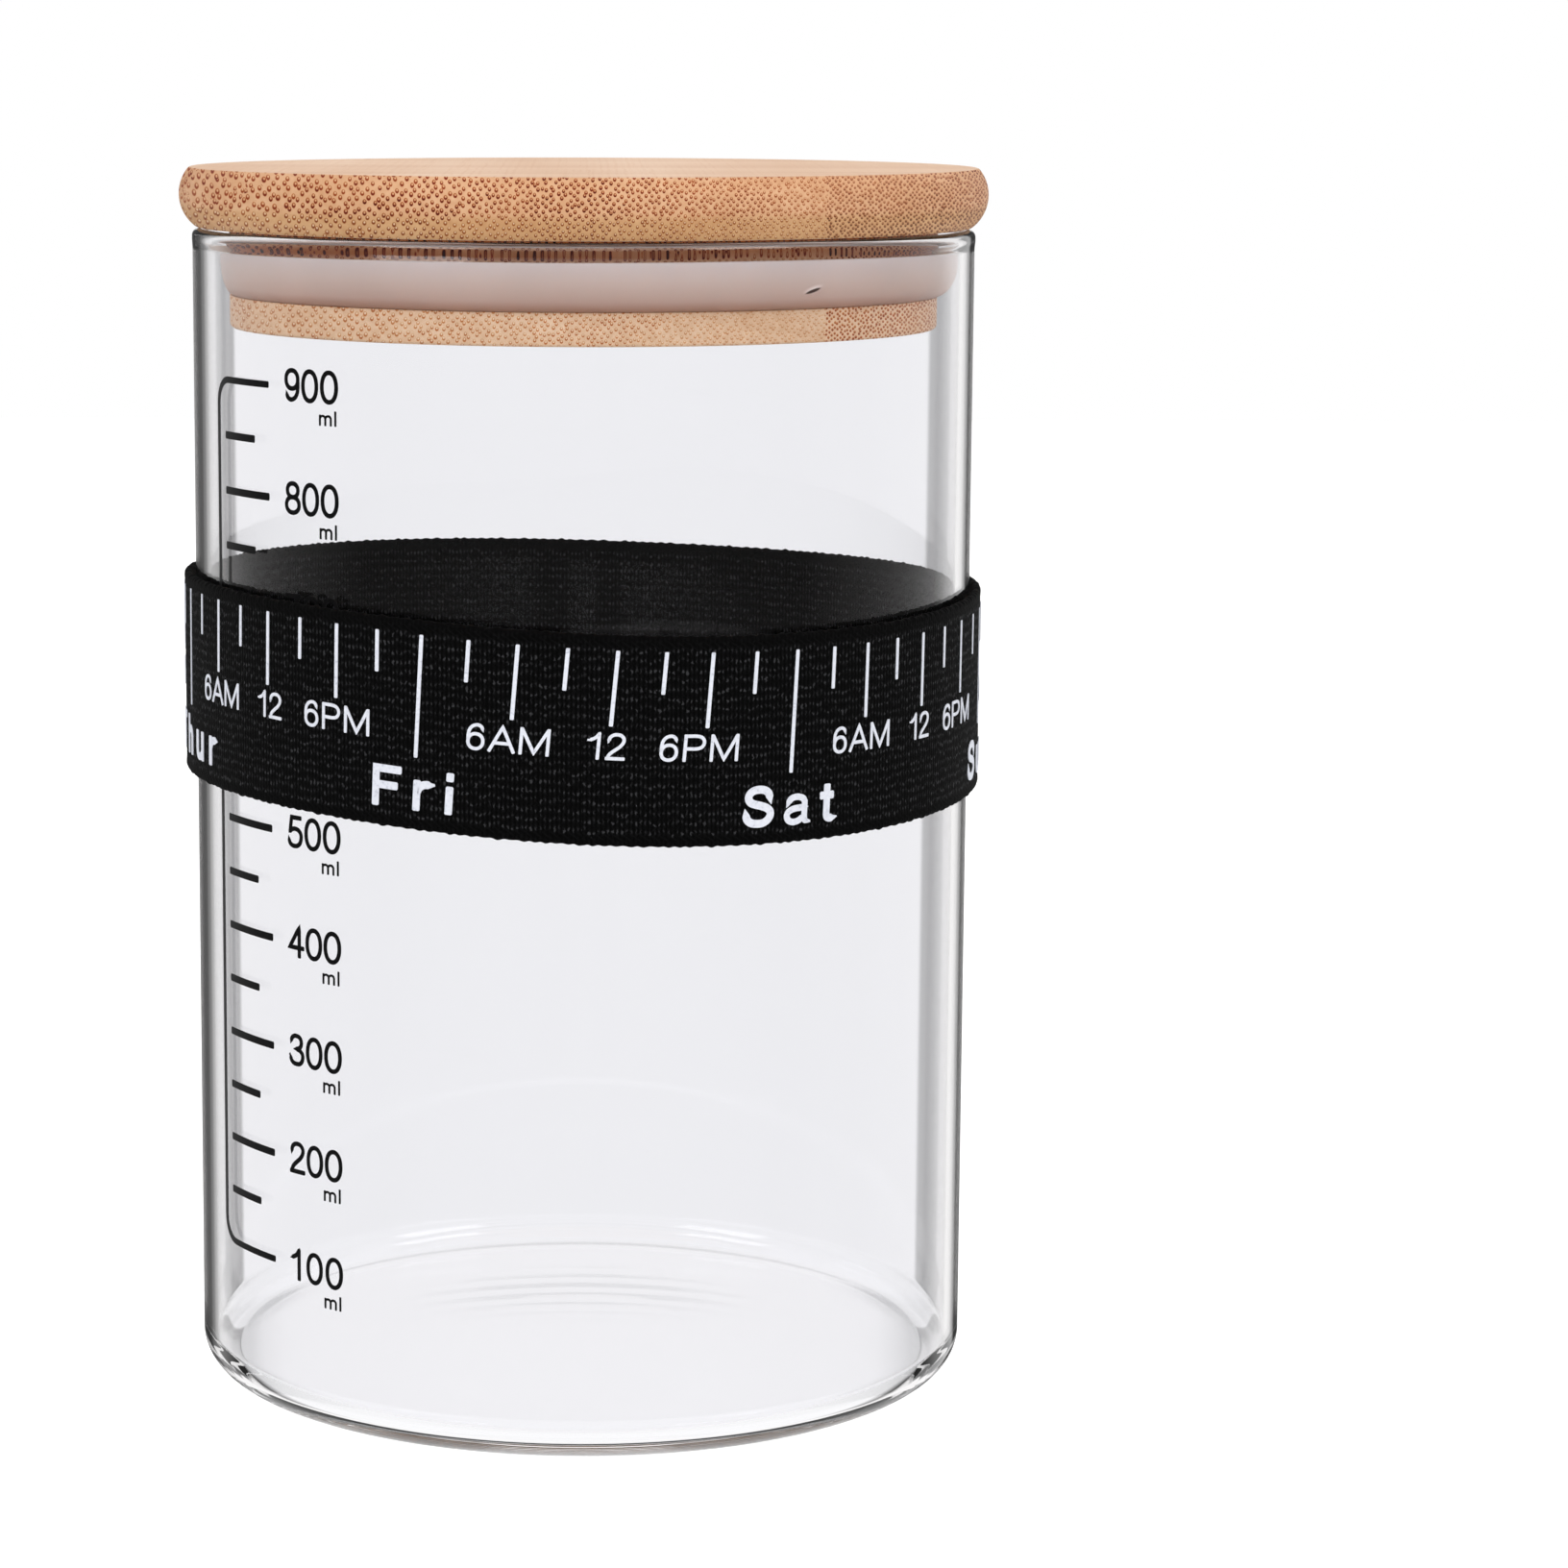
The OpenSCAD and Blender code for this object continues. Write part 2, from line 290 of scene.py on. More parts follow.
# %% Floor
FLOOR_SIZE, FLOOR_GLOW = 3.0, 0.45
FLOOR_GAP = 0.02  # mm below the foot, so that the two faces don't share a plane
floor_mesh = bpy.data.meshes.new("floor")
half = FLOOR_SIZE / 2
floor_mesh.from_pydata(
    [(-half, -half, 0), (half, -half, 0), (half, half, 0), (-half, half, 0)], [], [(0, 1, 2, 3)])
floor = bpy.data.objects.new("floor", floor_mesh)
floor.location.z = -FLOOR_GAP * MM
scene.collection.objects.link(floor)

paper, tree, _ = material("white_paper_sweep")
fibre = add(tree, "TexNoise", {"Scale": 900.0, "Detail": 3.0})
tone = shades(tree, fibre.outputs[0], [(0.0, "#F2F2F2"), (1.0, "#FAFAFA")])
paint = add(tree, "BsdfDiffuse", {"Color": tone})
sweep_path = add(tree, "LightPath").outputs
glow_level = times(tree, sweep_path["Is Camera Ray"], FLOOR_GLOW)
glow = add(tree, "Emission", {"Color": grey(1.0), "Strength": glow_level})
pale = add(tree, "AddShader", {0: paint.outputs[0], 1: glow.outputs[0]})
open_floor = add(tree, "BsdfTransparent")
not_direct = maths(tree, "MAXIMUM", sweep_path["Is Transmission Ray"], sweep_path["Is Glossy Ray"])
sweep = add(tree, "MixShader", {0: not_direct, 1: pale.outputs[0], 2: open_floor.outputs[0]})
add(tree, "OutputMaterial", {"Surface": sweep.outputs[0]})
floor_mesh.materials.append(paper)
print("floor:", FLOOR_SIZE, "m wide")

# %% [markdown]
# ## The lamps
# Three large soft boxes light the wood and the cloth: a key from the upper left, a weaker fill
# from the right and a faint one from above. They are switched off for reflections, because the
# world already holds what the glass mirrors, and a lamp seen through glass only makes noise.

# %% Lamps
LAMP_AIM = Vector((0, 0, 0.08))  # the middle of the jar
LAMPS = {  # where each stands and how large it is, in metres, and its power in watts
    "key_softbox": ((-0.75, -0.95, 0.85), 0.9, 6.6),
    "fill_softbox": ((0.95, -0.75, 0.55), 0.9, 4.2),
    "top_softbox": ((0.1, 0.25, 1.2), 0.8, 3.0),
}
for name, (place, size, power) in LAMPS.items():
    lamp_data = bpy.data.lights.new(name, "AREA")
    lamp_data.shape = "SQUARE"
    lamp_data.size = size
    lamp_data.energy = power
    lamp = bpy.data.objects.new(name, lamp_data)
    lamp.location = place
    lamp.rotation_mode = "QUATERNION"
    lamp.rotation_quaternion = (LAMP_AIM - lamp.location).to_track_quat("-Z", "Y")
    lamp.visible_glossy = False
    lamp.visible_transmission = False
    scene.collection.objects.link(lamp)
print("lamps:", ", ".join(LAMPS))


# %% [markdown]
# ## Turning a profile
# Jar, lid and ring are all turned shapes: one profile swept round the axis. The CAD model holds
# them as facets, which is enough for a simulation but shows in clear glass. So the same profile
# is swept again here, with many more steps, and the new piece stands for the CAD node.

# %% Lathe
def arc(centre, radius, start, end, steps=12):
    """Points of an arc, with its angles in degrees."""
    turns = [math.radians(start + (end - start) * i / steps) for i in range(steps + 1)]
    return [(centre[0] + radius * math.cos(t), centre[1] + radius * math.sin(t)) for t in turns]


def hang(name, mesh, body, finish):
    """Makes a mesh an object in its finish, and hangs it on a body."""
    made = bpy.data.objects.new(name, mesh)
    scene.collection.objects.link(made)
    mesh.materials.append(finish)
    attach(made, body)
    print("piece:", name, len(mesh.polygons), "faces on", body)
    return made


def piece(name, verts, faces, body, finish, sharp=35.0):
    """A smooth piece from points in mm."""
    mesh = bpy.data.meshes.new(name)
    mesh.from_pydata([tuple(c * MM for c in v) for v in verts], [], faces)
    mesh.validate()
    mesh.shade_smooth()
    mesh.set_sharp_from_angle(angle=math.radians(sharp))
    return hang(name, mesh, body, finish)


def lathe(profile, around=384, bend=None, closed=False):
    """Sweeps (radius, height) points about the axis; bend may move each point by its angle."""
    verts, rows, faces = [], [], []
    for radius, height in profile:
        if radius < 1e-6:
            rows.append([len(verts)] * around)
            verts.append((0.0, 0.0, height))
            continue
        rows.append(list(range(len(verts), len(verts) + around)))
        for k in range(around):
            turn = 2 * math.pi * k / around
            r, z = bend(radius, height, turn) if bend else (radius, height)
            verts.append((r * math.cos(turn), r * math.sin(turn), z))
    pairs = list(zip(rows, rows[1:])) + ([(rows[-1], rows[0])] if closed else [])
    for low, high in pairs:
        for k in range(around):
            n = (k + 1) % around
            corners = [low[k], low[n], high[n], high[k]]
            faces.append([c for i, c in enumerate(corners) if c != corners[i - 1]])
    return verts, faces


# %% [markdown]
# ## Borosilicate glass
# Lab and storage jars are drawn from borosilicate tube: very clear, with a faint grey-green
# depth, and ever so slightly uneven, because the tube was drawn hot. Its index of refraction is
# about 1.47. A faint waviness, long in the direction of drawing, makes the reflections swim a
# little. Rays that look for a lamp pass straight through, so that the wood and cloth behind the
# glass are lit without noise.

# %% Glass material
GLASS_IOR = 1.473
glass, tree, spot = material("borosilicate_glass")
waves = noise(tree, stretch(tree, spot, (55.0, 55.0, 9.0)), 1.0, 1.0)
haze = span(tree, noise(tree, spot, 60.0, 4.0), 0.45, 0.8, 0.0, 0.012)
swim = bump(tree, waves, 0.00012, 0.1)
clear = add(tree, "BsdfPrincipled", {
    "Base Color": linear("#FCFCFE"), "Roughness": haze, "IOR": GLASS_IOR,
    "Transmission Weight": 1.0, "Normal": swim})
lamp_path = add(tree, "LightPath").outputs["Is Shadow Ray"]
lit_through = add(tree, "BsdfTransparent", {"Color": linear("#F4F6F5")})
pane = add(tree, "MixShader", {0: lamp_path, 1: clear.outputs[0], 2: lit_through.outputs[0]})
add(tree, "OutputMaterial", {"Surface": pane.outputs[0]})
print("material:", glass.name, "IOR", GLASS_IOR)

# %% [markdown]
# ## The jar
# The profile runs from the middle of the underside, out over the foot ring, up the wall, over
# the melted rim and down the inside. Melting the rim leaves a soft bead that is never quite
# even, so the inside of the rim swells by up to a quarter of a millimetre as it goes round.

# %% Glass jar
JAR_R, JAR_H, WALL, FLOOR_T = 50.0, 148.4, 1.8, 1.8
HEEL_R, HEEL_INNER_R, FOOT_W, KICK = 4.3, 3.2, 3.0, 0.4
inner_r = JAR_R - WALL
floor_z = KICK + FLOOR_T
heel_top = floor_z + HEEL_INNER_R
foot_outer = JAR_R - HEEL_R
foot_inner = foot_outer - FOOT_W
BEAD_LOW, BEAD_STEP = JAR_H - 2.6, 0.17  # where the swelling of the rim begins, and its rows
NEAR, NEXT = 0.3, 1.0  # mm from the end of a curve to the rows that keep its shading off a plain

underside = [(foot_inner * i / 24, KICK / 2 * (1 + math.cos(math.pi * i / 24)))
             for i in range(25)]
plain_wall = [40.0, 80.0, 120.0, BEAD_LOW - 3 * NEAR, BEAD_LOW - NEAR, BEAD_LOW]
jar_profile = (
    underside
    + [(foot_inner + NEAR, 0.0), (foot_outer - NEAR, 0.0)]
    + arc((foot_outer, HEEL_R), HEEL_R, -90, 0, 32)
    + [(JAR_R, z) for z in (HEEL_R + NEAR, HEEL_R + NEXT, *plain_wall)]
    + [(JAR_R, BEAD_LOW + BEAD_STEP * i) for i in range(1, 10)]
    + arc((JAR_R - WALL / 2, JAR_H - WALL / 2), WALL / 2, 0, 180, 24)
    + [(inner_r, BEAD_LOW + BEAD_STEP * i) for i in range(9, 0, -1)]
    + [(inner_r, z) for z in (*plain_wall[::-1], heel_top + NEXT, heel_top + NEAR)]
    + arc((inner_r - HEEL_INNER_R, heel_top), HEEL_INNER_R, 0, -90, 28)
    + [(inner_r - HEEL_INNER_R - NEAR, floor_z), (inner_r - HEEL_INNER_R - 1.5, floor_z)]
    + [(20.0, floor_z), (0.0, floor_z)]
)


SWELL_IN, SWELL_OUT = 0.14, 0.09  # mm


def bead(radius, height, turn):
    """Swells the rim into a soft bead, and not evenly."""
    if height < BEAD_LOW:
        return radius, height
    across = math.sin(math.pi * (height - BEAD_LOW) / (JAR_H - BEAD_LOW)) ** 2
    uneven = 0.05 * math.sin(3 * turn + 1.2) + 0.03 * math.sin(7 * turn)
    dip = 0.06 * math.sin(2 * turn + 0.5) + 0.04 * math.sin(5 * turn)
    inside = radius < JAR_R - WALL / 2
    swell = -(SWELL_IN + uneven) if inside else SWELL_OUT + 0.5 * uneven
    lowered = dip * across if height < JAR_H - 0.01 else 0.0
    return radius + swell * across, height + lowered


jar = piece("glass_jar_clear", *lathe(jar_profile, bend=bead), "jar", glass)
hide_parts("glass_jar")


# %% [markdown]
# ## Lettering
# The numbers and names are in a plain grotesque, printed with one width of stroke. Such letters
# are simple to draw by hand: each is a few straight or curved strokes in a box one capital high,
# and a stroke becomes a ribbon of ink. Drawing them here, and not with a font, gives the weight
# and the round-cornered ends of the print, and lets each point be laid on the curved surface.

# %% Strokes of the letters
# A stroke is a "line" with square ends, a "curve" through its points, or a closed "ring" with
# its middle and its two radii. All are in hundredths of the height of a capital.
STEM, LOW_STEM = ("line", (0, 0), (0, 100)), ("line", (0, 0), (0, 68))
ARCH = ("curve", (0, 46), (7, 60), (20, 68), (36, 66), (46, 54), (48, 36))
LEG = ("line", (48, 40), (48, 0))
GLYPHS = {
    "0": [("ring", (30, 50), (30, 50))],
    "1": [("curve", (0, 73), (14, 79), (26, 89), (33, 102)), ("line", (34, 100), (34, 0))],
    "2": [("curve", (2, 70), (6, 87), (17, 97), (31, 100), (46, 96), (56, 83), (55, 67), (44, 50),
           (27, 35), (11, 20), (1, 3)), ("line", (0, 0), (59, 0))],
    "3": [("curve", (3, 79), (8, 91), (18, 98.5), (30, 100), (44, 96), (52, 84), (51, 68),
           (41, 57), (24, 53)), ("curve", (24, 53), (43, 50), (56, 40), (59, 27), (55, 12),
           (44, 2), (29, 0), (15, 2), (4, 11), (0, 25))],
    "4": [("line", (46, 0), (46, 100), (0, 28), (62, 28))],
    "5": [("line", (53, 100), (13, 100), (6, 52)), ("curve", (6, 50), (16, 58), (30, 61), (46, 57),
           (57, 45), (58.5, 28), (52, 11), (40, 2), (27, 0), (14, 2), (4, 10), (0, 24))],
    "6": [("ring", (30, 31), (28, 31)), ("curve", (55, 79), (50, 92), (39, 99), (27, 98.5),
           (14, 91), (5, 76), (2, 56), (2, 34))],
    "7": [("line", (0, 100), (58, 100)), ("curve", (58, 100), (44, 80), (32, 56), (24, 30),
           (19, -5))],
    "8": [("ring", (30, 76.5), (25, 23.5)), ("ring", (30, 26.5), (30, 26.5))],
    "9": [("ring", (30, 69), (28, 31)), ("curve", (5, 21), (10, 8), (21, 1), (33, 1.5), (46, 9),
           (55, 24), (58, 44), (58, 66))],
    "A": [("line", (0, 0), (44, 100), (88, 0)), ("line", (16, 32), (72, 32))],
    "F": [("line", (0, 0), (0, 100), (66, 100)), ("line", (0, 52), (56, 52))],
    "M": [STEM, ("line", (3, 98), (49, 3), (95, 98)), ("line", (98, 100), (98, 0))],
    "P": [STEM, ("curve", (0, 100), (20, 100), (40, 100), (58, 96), (68, 86), (71, 73.5), (68, 61),
           (58, 51), (40, 47), (20, 47), (0, 47))],
    "S": [("curve", (68, 72), (63, 88), (51, 97.5), (35, 100), (19, 97), (8, 88), (5, 75),
           (12, 63), (26, 56.5), (43, 52), (60, 45), (70, 35), (71, 22), (63, 9), (50, 1.5),
           (35, 0), (17, 3), (5, 13), (0, 29))],
    "T": [("line", (0, 100), (76, 100)), ("line", (38, 100), (38, 0))],
    "W": [("line", (0, 100), (30, 0), (62, 100), (95, 0), (125, 100))],
    "a": [("curve", (3, 53), (10, 66), (22, 71), (36, 71), (50, 65), (55, 53)), ("line", (55, 53),
           (55, 12)), ("curve", (55, 14), (57, 3), (63, -1)), ("curve", (55, 40), (40, 39),
           (21, 37), (6, 30), (0, 18), (6, 4), (21, -2), (38, 2), (51, 13))],
    "d": [("ring", (26, 34), (26, 34)), ("line", (52, 0), (52, 100))],
    "e": [("line", (10, 37), (46, 37)), ("curve", (55, 33), (53, 50), (44, 63), (28, 68), (12, 63),
           (2, 50), (0, 34), (3, 16), (13, 3), (28, 0), (43, 3), (53, 15))],
    "h": [STEM, LEG, ARCH],
    "i": [("line", (0, 0), (0, 60)), ("line", (0, 97), (0, 100))],
    "l": [STEM],
    "m": [LOW_STEM, ("line", (43, 40), (43, 0)), ("line", (86, 40), (86, 0)), ("curve", (0, 48),
           (6, 61), (19, 68), (33, 65), (42, 52), (43, 36)), ("curve", (43, 48), (49, 61),
           (62, 68), (76, 65), (85, 52), (86, 36))],
    "n": [LOW_STEM, LEG, ARCH],
    "o": [("ring", (28, 34), (28, 34))],
    "r": [LOW_STEM, ("curve", (0, 40), (6, 56), (16, 65), (26, 68), (36, 68))],
    "t": [("line", (15, 90), (15, 16)), ("line", (2, 68), (28, 68)), ("curve", (15, 20), (17, 5),
           (25, 0), (36, 0))],
    "u": [("line", (0, 68), (0, 28)), ("line", (49, 68), (49, 0)), ("curve", (0, 30), (3, 9),
           (14, 0), (30, 1), (43, 9), (49, 24))],
}
print("letters:", "".join(GLYPHS))

# %% [markdown]
# A ribbon needs points close together, so that it bends round the jar and its curves look
# smooth. A curve is run through its points as a Catmull-Rom spline, which passes through each of
# them. The ribbon is a closed solid: ink has a thickness, and its edge catches the light.

# %% Ribbons of ink
STEP = 0.45  # mm from one point of a ribbon to the next
SQUARISH = 0.93  # under 1, a ring is a little fuller than an ellipse
TIP, TIP_W = 0.12, 0.68  # how long the narrowed end of a stroke is in mm, and its share of width


def stroke_points(kind, points):
    """The dense points of a stroke, in heights of a capital, and whether it is closed."""
    points = [(x / 100, y / 100) for x, y in points]
    if kind == "ring":
        (cx, cy), (rx, ry) = points
        turns = [2 * math.pi * i / 40 for i in range(40)]
        return [(cx + rx * math.copysign(abs(math.cos(t)) ** SQUARISH, math.cos(t)),
                 cy + ry * math.copysign(abs(math.sin(t)) ** SQUARISH, math.sin(t)))
                for t in turns], True
    if kind == "line":
        return points, False
    padded = [points[0], *points, points[-1]]
    dense = []
    for a, b, c, d in zip(padded, padded[1:], padded[2:], padded[3:]):
        for i in range(5):
            t = i / 5
            dense.append(tuple(0.5 * (2 * b[k] + (c[k] - a[k]) * t
                                      + (2 * a[k] - 5 * b[k] + 4 * c[k] - d[k]) * t * t
                                      + (3 * b[k] - a[k] - 3 * c[k] + d[k]) * t ** 3)
                               for k in (0, 1)))
    return dense + [points[-1]], False


def ribbon(made, points, width, place, thickness, gap, closed=False, square=False):
    """Adds to a bmesh a solid strip of ink along flat points, laid on a surface by place."""
    path = [Vector((*p, 0.0)) for p in points]
    if square:
        path[0] = path[0] + (path[0] - path[1]).normalized() * width / 2
        path[-1] = path[-1] + (path[-1] - path[-2]).normalized() * width / 2
    fine = []
    legs = list(zip(path, path[1:])) + ([(path[-1], path[0])] if closed else [])
    for a, b in legs:
        parts = max(1, round((b - a).length / STEP))
        fine += [a.lerp(b, i / parts) for i in range(parts)]
    if not closed:
        fine.append(path[-1])
        # Ink draws back from a corner, so each end narrows over its last tenth of a millimetre
        tip = min(TIP, width * 0.22)
        fine.insert(1, fine[0] + (fine[1] - fine[0]).normalized() * tip)
        fine.insert(-1, fine[-1] + (fine[-2] - fine[-1]).normalized() * tip)
    rings = []
    for i, spot in enumerate(fine):
        before = fine[i - 1] if i or closed else spot * 2 - fine[1]
        after = fine[(i + 1) % len(fine)] if i < len(fine) - 1 or closed else spot * 2 - before
        into, out = (spot - before).normalized(), (after - spot).normalized()
        along = (into + out).normalized()
        side = Vector((-along.y, along.x, 0.0))
        reach = min(1.7, 1 / max(0.2, abs(along.dot(into)))) * width / 2
        if not closed and i in (0, len(fine) - 1):
            reach *= TIP_W
        ring_verts = []
        for s, lift in ((-1, gap), (1, gap), (1, gap + thickness), (-1, gap + thickness)):
            at = spot + side * reach * s
            ring_verts.append(made.verts.new(Vector(place(at.x, at.y, lift)) * MM))
        rings.append(ring_verts)
    joints = list(zip(rings, rings[1:])) + ([(rings[-1], rings[0])] if closed else [])
    for one, two in joints:
        for j in range(4):
            n = (j + 1) % 4
            made.faces.new((one[j], one[n], two[n], two[j]))
    if not closed:
        made.faces.new(rings[0][::-1])
        made.faces.new(rings[-1])


ROOM = {"1": 0.5}  # a narrow figure is given room, so that the figures stand evenly
FINE = {"a": 0.82, "e": 0.86}  # letters with a small bowl are drawn with a finer pen


def lettering(words, place, width, height, stroke, thickness, gap, broad=1.0):
    """A bmesh of words, width x height mm outside, centred on x and with the baseline at 0."""
    made = bmesh.new()
    unit = height - stroke
    drawn = []
    for letter in words:
        strokes = [(kind, *stroke_points(kind, points)) for kind, *points in GLYPHS[letter]]
        right = max(x for _, points, _ in strokes for x, _ in points)
        right = max(right, ROOM.get(letter, 0.0))
        drawn.append((strokes, right * unit * broad + stroke, stroke * FINE.get(letter, 1.0)))
    spare = (width - sum(wide for _, wide, _ in drawn)) / max(1, len(drawn) - 1)
    at = -width / 2
    for strokes, wide, pen in drawn:
        for kind, points, closed in strokes:
            flat = [(at + stroke / 2 + x * unit * broad, stroke / 2 + y * unit) for x, y in points]
            ribbon(made, flat, pen, place, thickness, gap, closed, kind == "line")
        at += wide + spare
    return made


def join(name, parts, body, finish):
    """One piece from several bmeshes."""
    whole = bmesh.new()
    for part in parts:
        step = bpy.data.meshes.new("step")
        part.to_mesh(step)
        whole.from_mesh(step)
        bpy.data.meshes.remove(step)
        part.free()
    mesh = bpy.data.meshes.new(name)
    bmesh.ops.recalc_face_normals(whole, faces=whole.faces)
    whole.to_mesh(mesh)
    whole.free()
    return hang(name, mesh, body, finish)


# %% [markdown]
# ## The black enamel scale
# The scale is ceramic ink, fired until it melts into the glass. It stands a few hundredths of a
# millimetre proud, glossy, with a slightly grainy coverage. The marks and the bracket are drawn
# again as ribbons, with the softened ends that a screen print has and its lean of a tenth of a
# degree, and stand for the CAD marks.

# %% Enamel material and numbers
enamel, tree, spot = material("fired_black_enamel")
grain = noise(tree, spot, 2600.0, 2.0)
tone = shades(tree, grain, [(0.35, "#060607"), (0.75, "#121213")])
gloss = span(tree, grain, 0, 1, 0.28, 0.5)
relief = bump(tree, grain, 0.00002, 0.4)
surface(tree, {
    "Base Color": tone, "Roughness": gloss, "IOR": 1.5,
    "Specular IOR Level": 0.2, "Normal": relief})

SCALE_Z, MARK_STEP, STEPS = 20.9, 6.8505, 16  # the 100 ml mark, and 50 ml on this jar's wall
INK_GAP, INK_T = 0.005, 0.055
BRACKET_DEG, BRACKET_GAP, BRACKET_R, BRACKET_W = -64.5, 2.1, 3.0, 0.7
LONG_MARK, HALF_MARK, MARK_W = 10.7, 7.6, 0.94
NUMBER_DEG, UNIT_DEG = -41.1, -37.8
NUMBER_DROP, UNIT_DROP = 1.85, 4.45  # from the middle of a mark down to their baselines
NUMBER_W, NUMBER_H, NUMBER_STROKE = 9.1, 4.12, 0.58
UNIT_W, UNIT_H, UNIT_STROKE = 2.75, 1.85, 0.3
PRINT_LEAN, SCALE_TOP = 0.1, SCALE_Z + STEPS * MARK_STEP


def on_glass(centre_deg, base_z):
    """A function that lays flat (x, y, lift) points on the jar, about a direction and height."""
    def place(x, y, lift):
        z = base_z + y
        slip = -PRINT_LEAN * (SCALE_TOP - z) / (SCALE_TOP - SCALE_Z)
        turn = math.radians(centre_deg + slip) + x / JAR_R
        r = JAR_R + lift
        return r * math.sin(turn), -r * math.cos(turn), z
    return place


scale_marks = bmesh.new()
on_scale = on_glass(BRACKET_DEG, 0.0)
for i in range(1, STEPS):
    z = SCALE_Z + i * MARK_STEP
    length = HALF_MARK if i % 2 else LONG_MARK
    ribbon(scale_marks, [(BRACKET_GAP, z), (BRACKET_GAP + length, z)], MARK_W, on_scale,
           INK_T, INK_GAP)
bracket_end = BRACKET_GAP + LONG_MARK
bracket_path = (
    [(bracket_end, SCALE_TOP)]
    + arc((BRACKET_R, SCALE_TOP - BRACKET_R), BRACKET_R, 90, 180, 8)
    + arc((BRACKET_R, SCALE_Z + BRACKET_R), BRACKET_R, 180, 270, 8)
    + [(bracket_end, SCALE_Z)]
)
ribbon(scale_marks, bracket_path, (MARK_W + BRACKET_W) / 2, on_scale, INK_T, INK_GAP)
scale_fired = join("volume_scale_fired", [scale_marks], "jar", enamel)
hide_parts("volume_scale")

numbers = []
for i in range(9):
    mark_z = SCALE_Z + 2 * i * MARK_STEP
    numbers.append(lettering(
        str(100 * (i + 1)), on_glass(NUMBER_DEG, mark_z - NUMBER_DROP), NUMBER_W, NUMBER_H,
        NUMBER_STROKE, INK_T, INK_GAP, broad=1.07))
    numbers.append(lettering(
        "ml", on_glass(UNIT_DEG, mark_z - UNIT_DROP), UNIT_W, UNIT_H, UNIT_STROKE, INK_T,
        INK_GAP, broad=1.3))
scale_numbers = join("volume_numbers", numbers, "jar", enamel)


# %% [markdown]
# ## Bamboo
# A bamboo board is glued up from strips of the culm. Bamboo has no growth rings: its fibres run
# in bundles along the culm, so a cut across them shows a field of brown dots, and a cut along
# them shows streaks. The lid is turned from the board with its grain front to back. So the dots
# show at the front and the back of its edge and turn into streaks at the sides and on top. One
# solid pattern does all of this: cells that are small across the grain and long along it. Each
# bundle is a dark crescent round a light core. The crescent is drawn thickest on its lower side,
# as painted shade, and the core carries a painted glint, as on a small raised bundle lit from
# above.

# %% Bamboo material
STRIP_JOINT = 28.8  # mm to the right of the middle, where two strips meet
CLOSE_RIGHT, CLOSE_STRIP = 1.9, 2.15  # how much closer bundles are there, and in the next strip
GRAIN_LENGTH = 60.0  # mm over which a bundle keeps its place
SEAM_SOFT = 0.8  # mm above and below the joint of the layers over which they mix
LIGNIN = 5.0  # how many more layers of wood the darkest bundle is worth


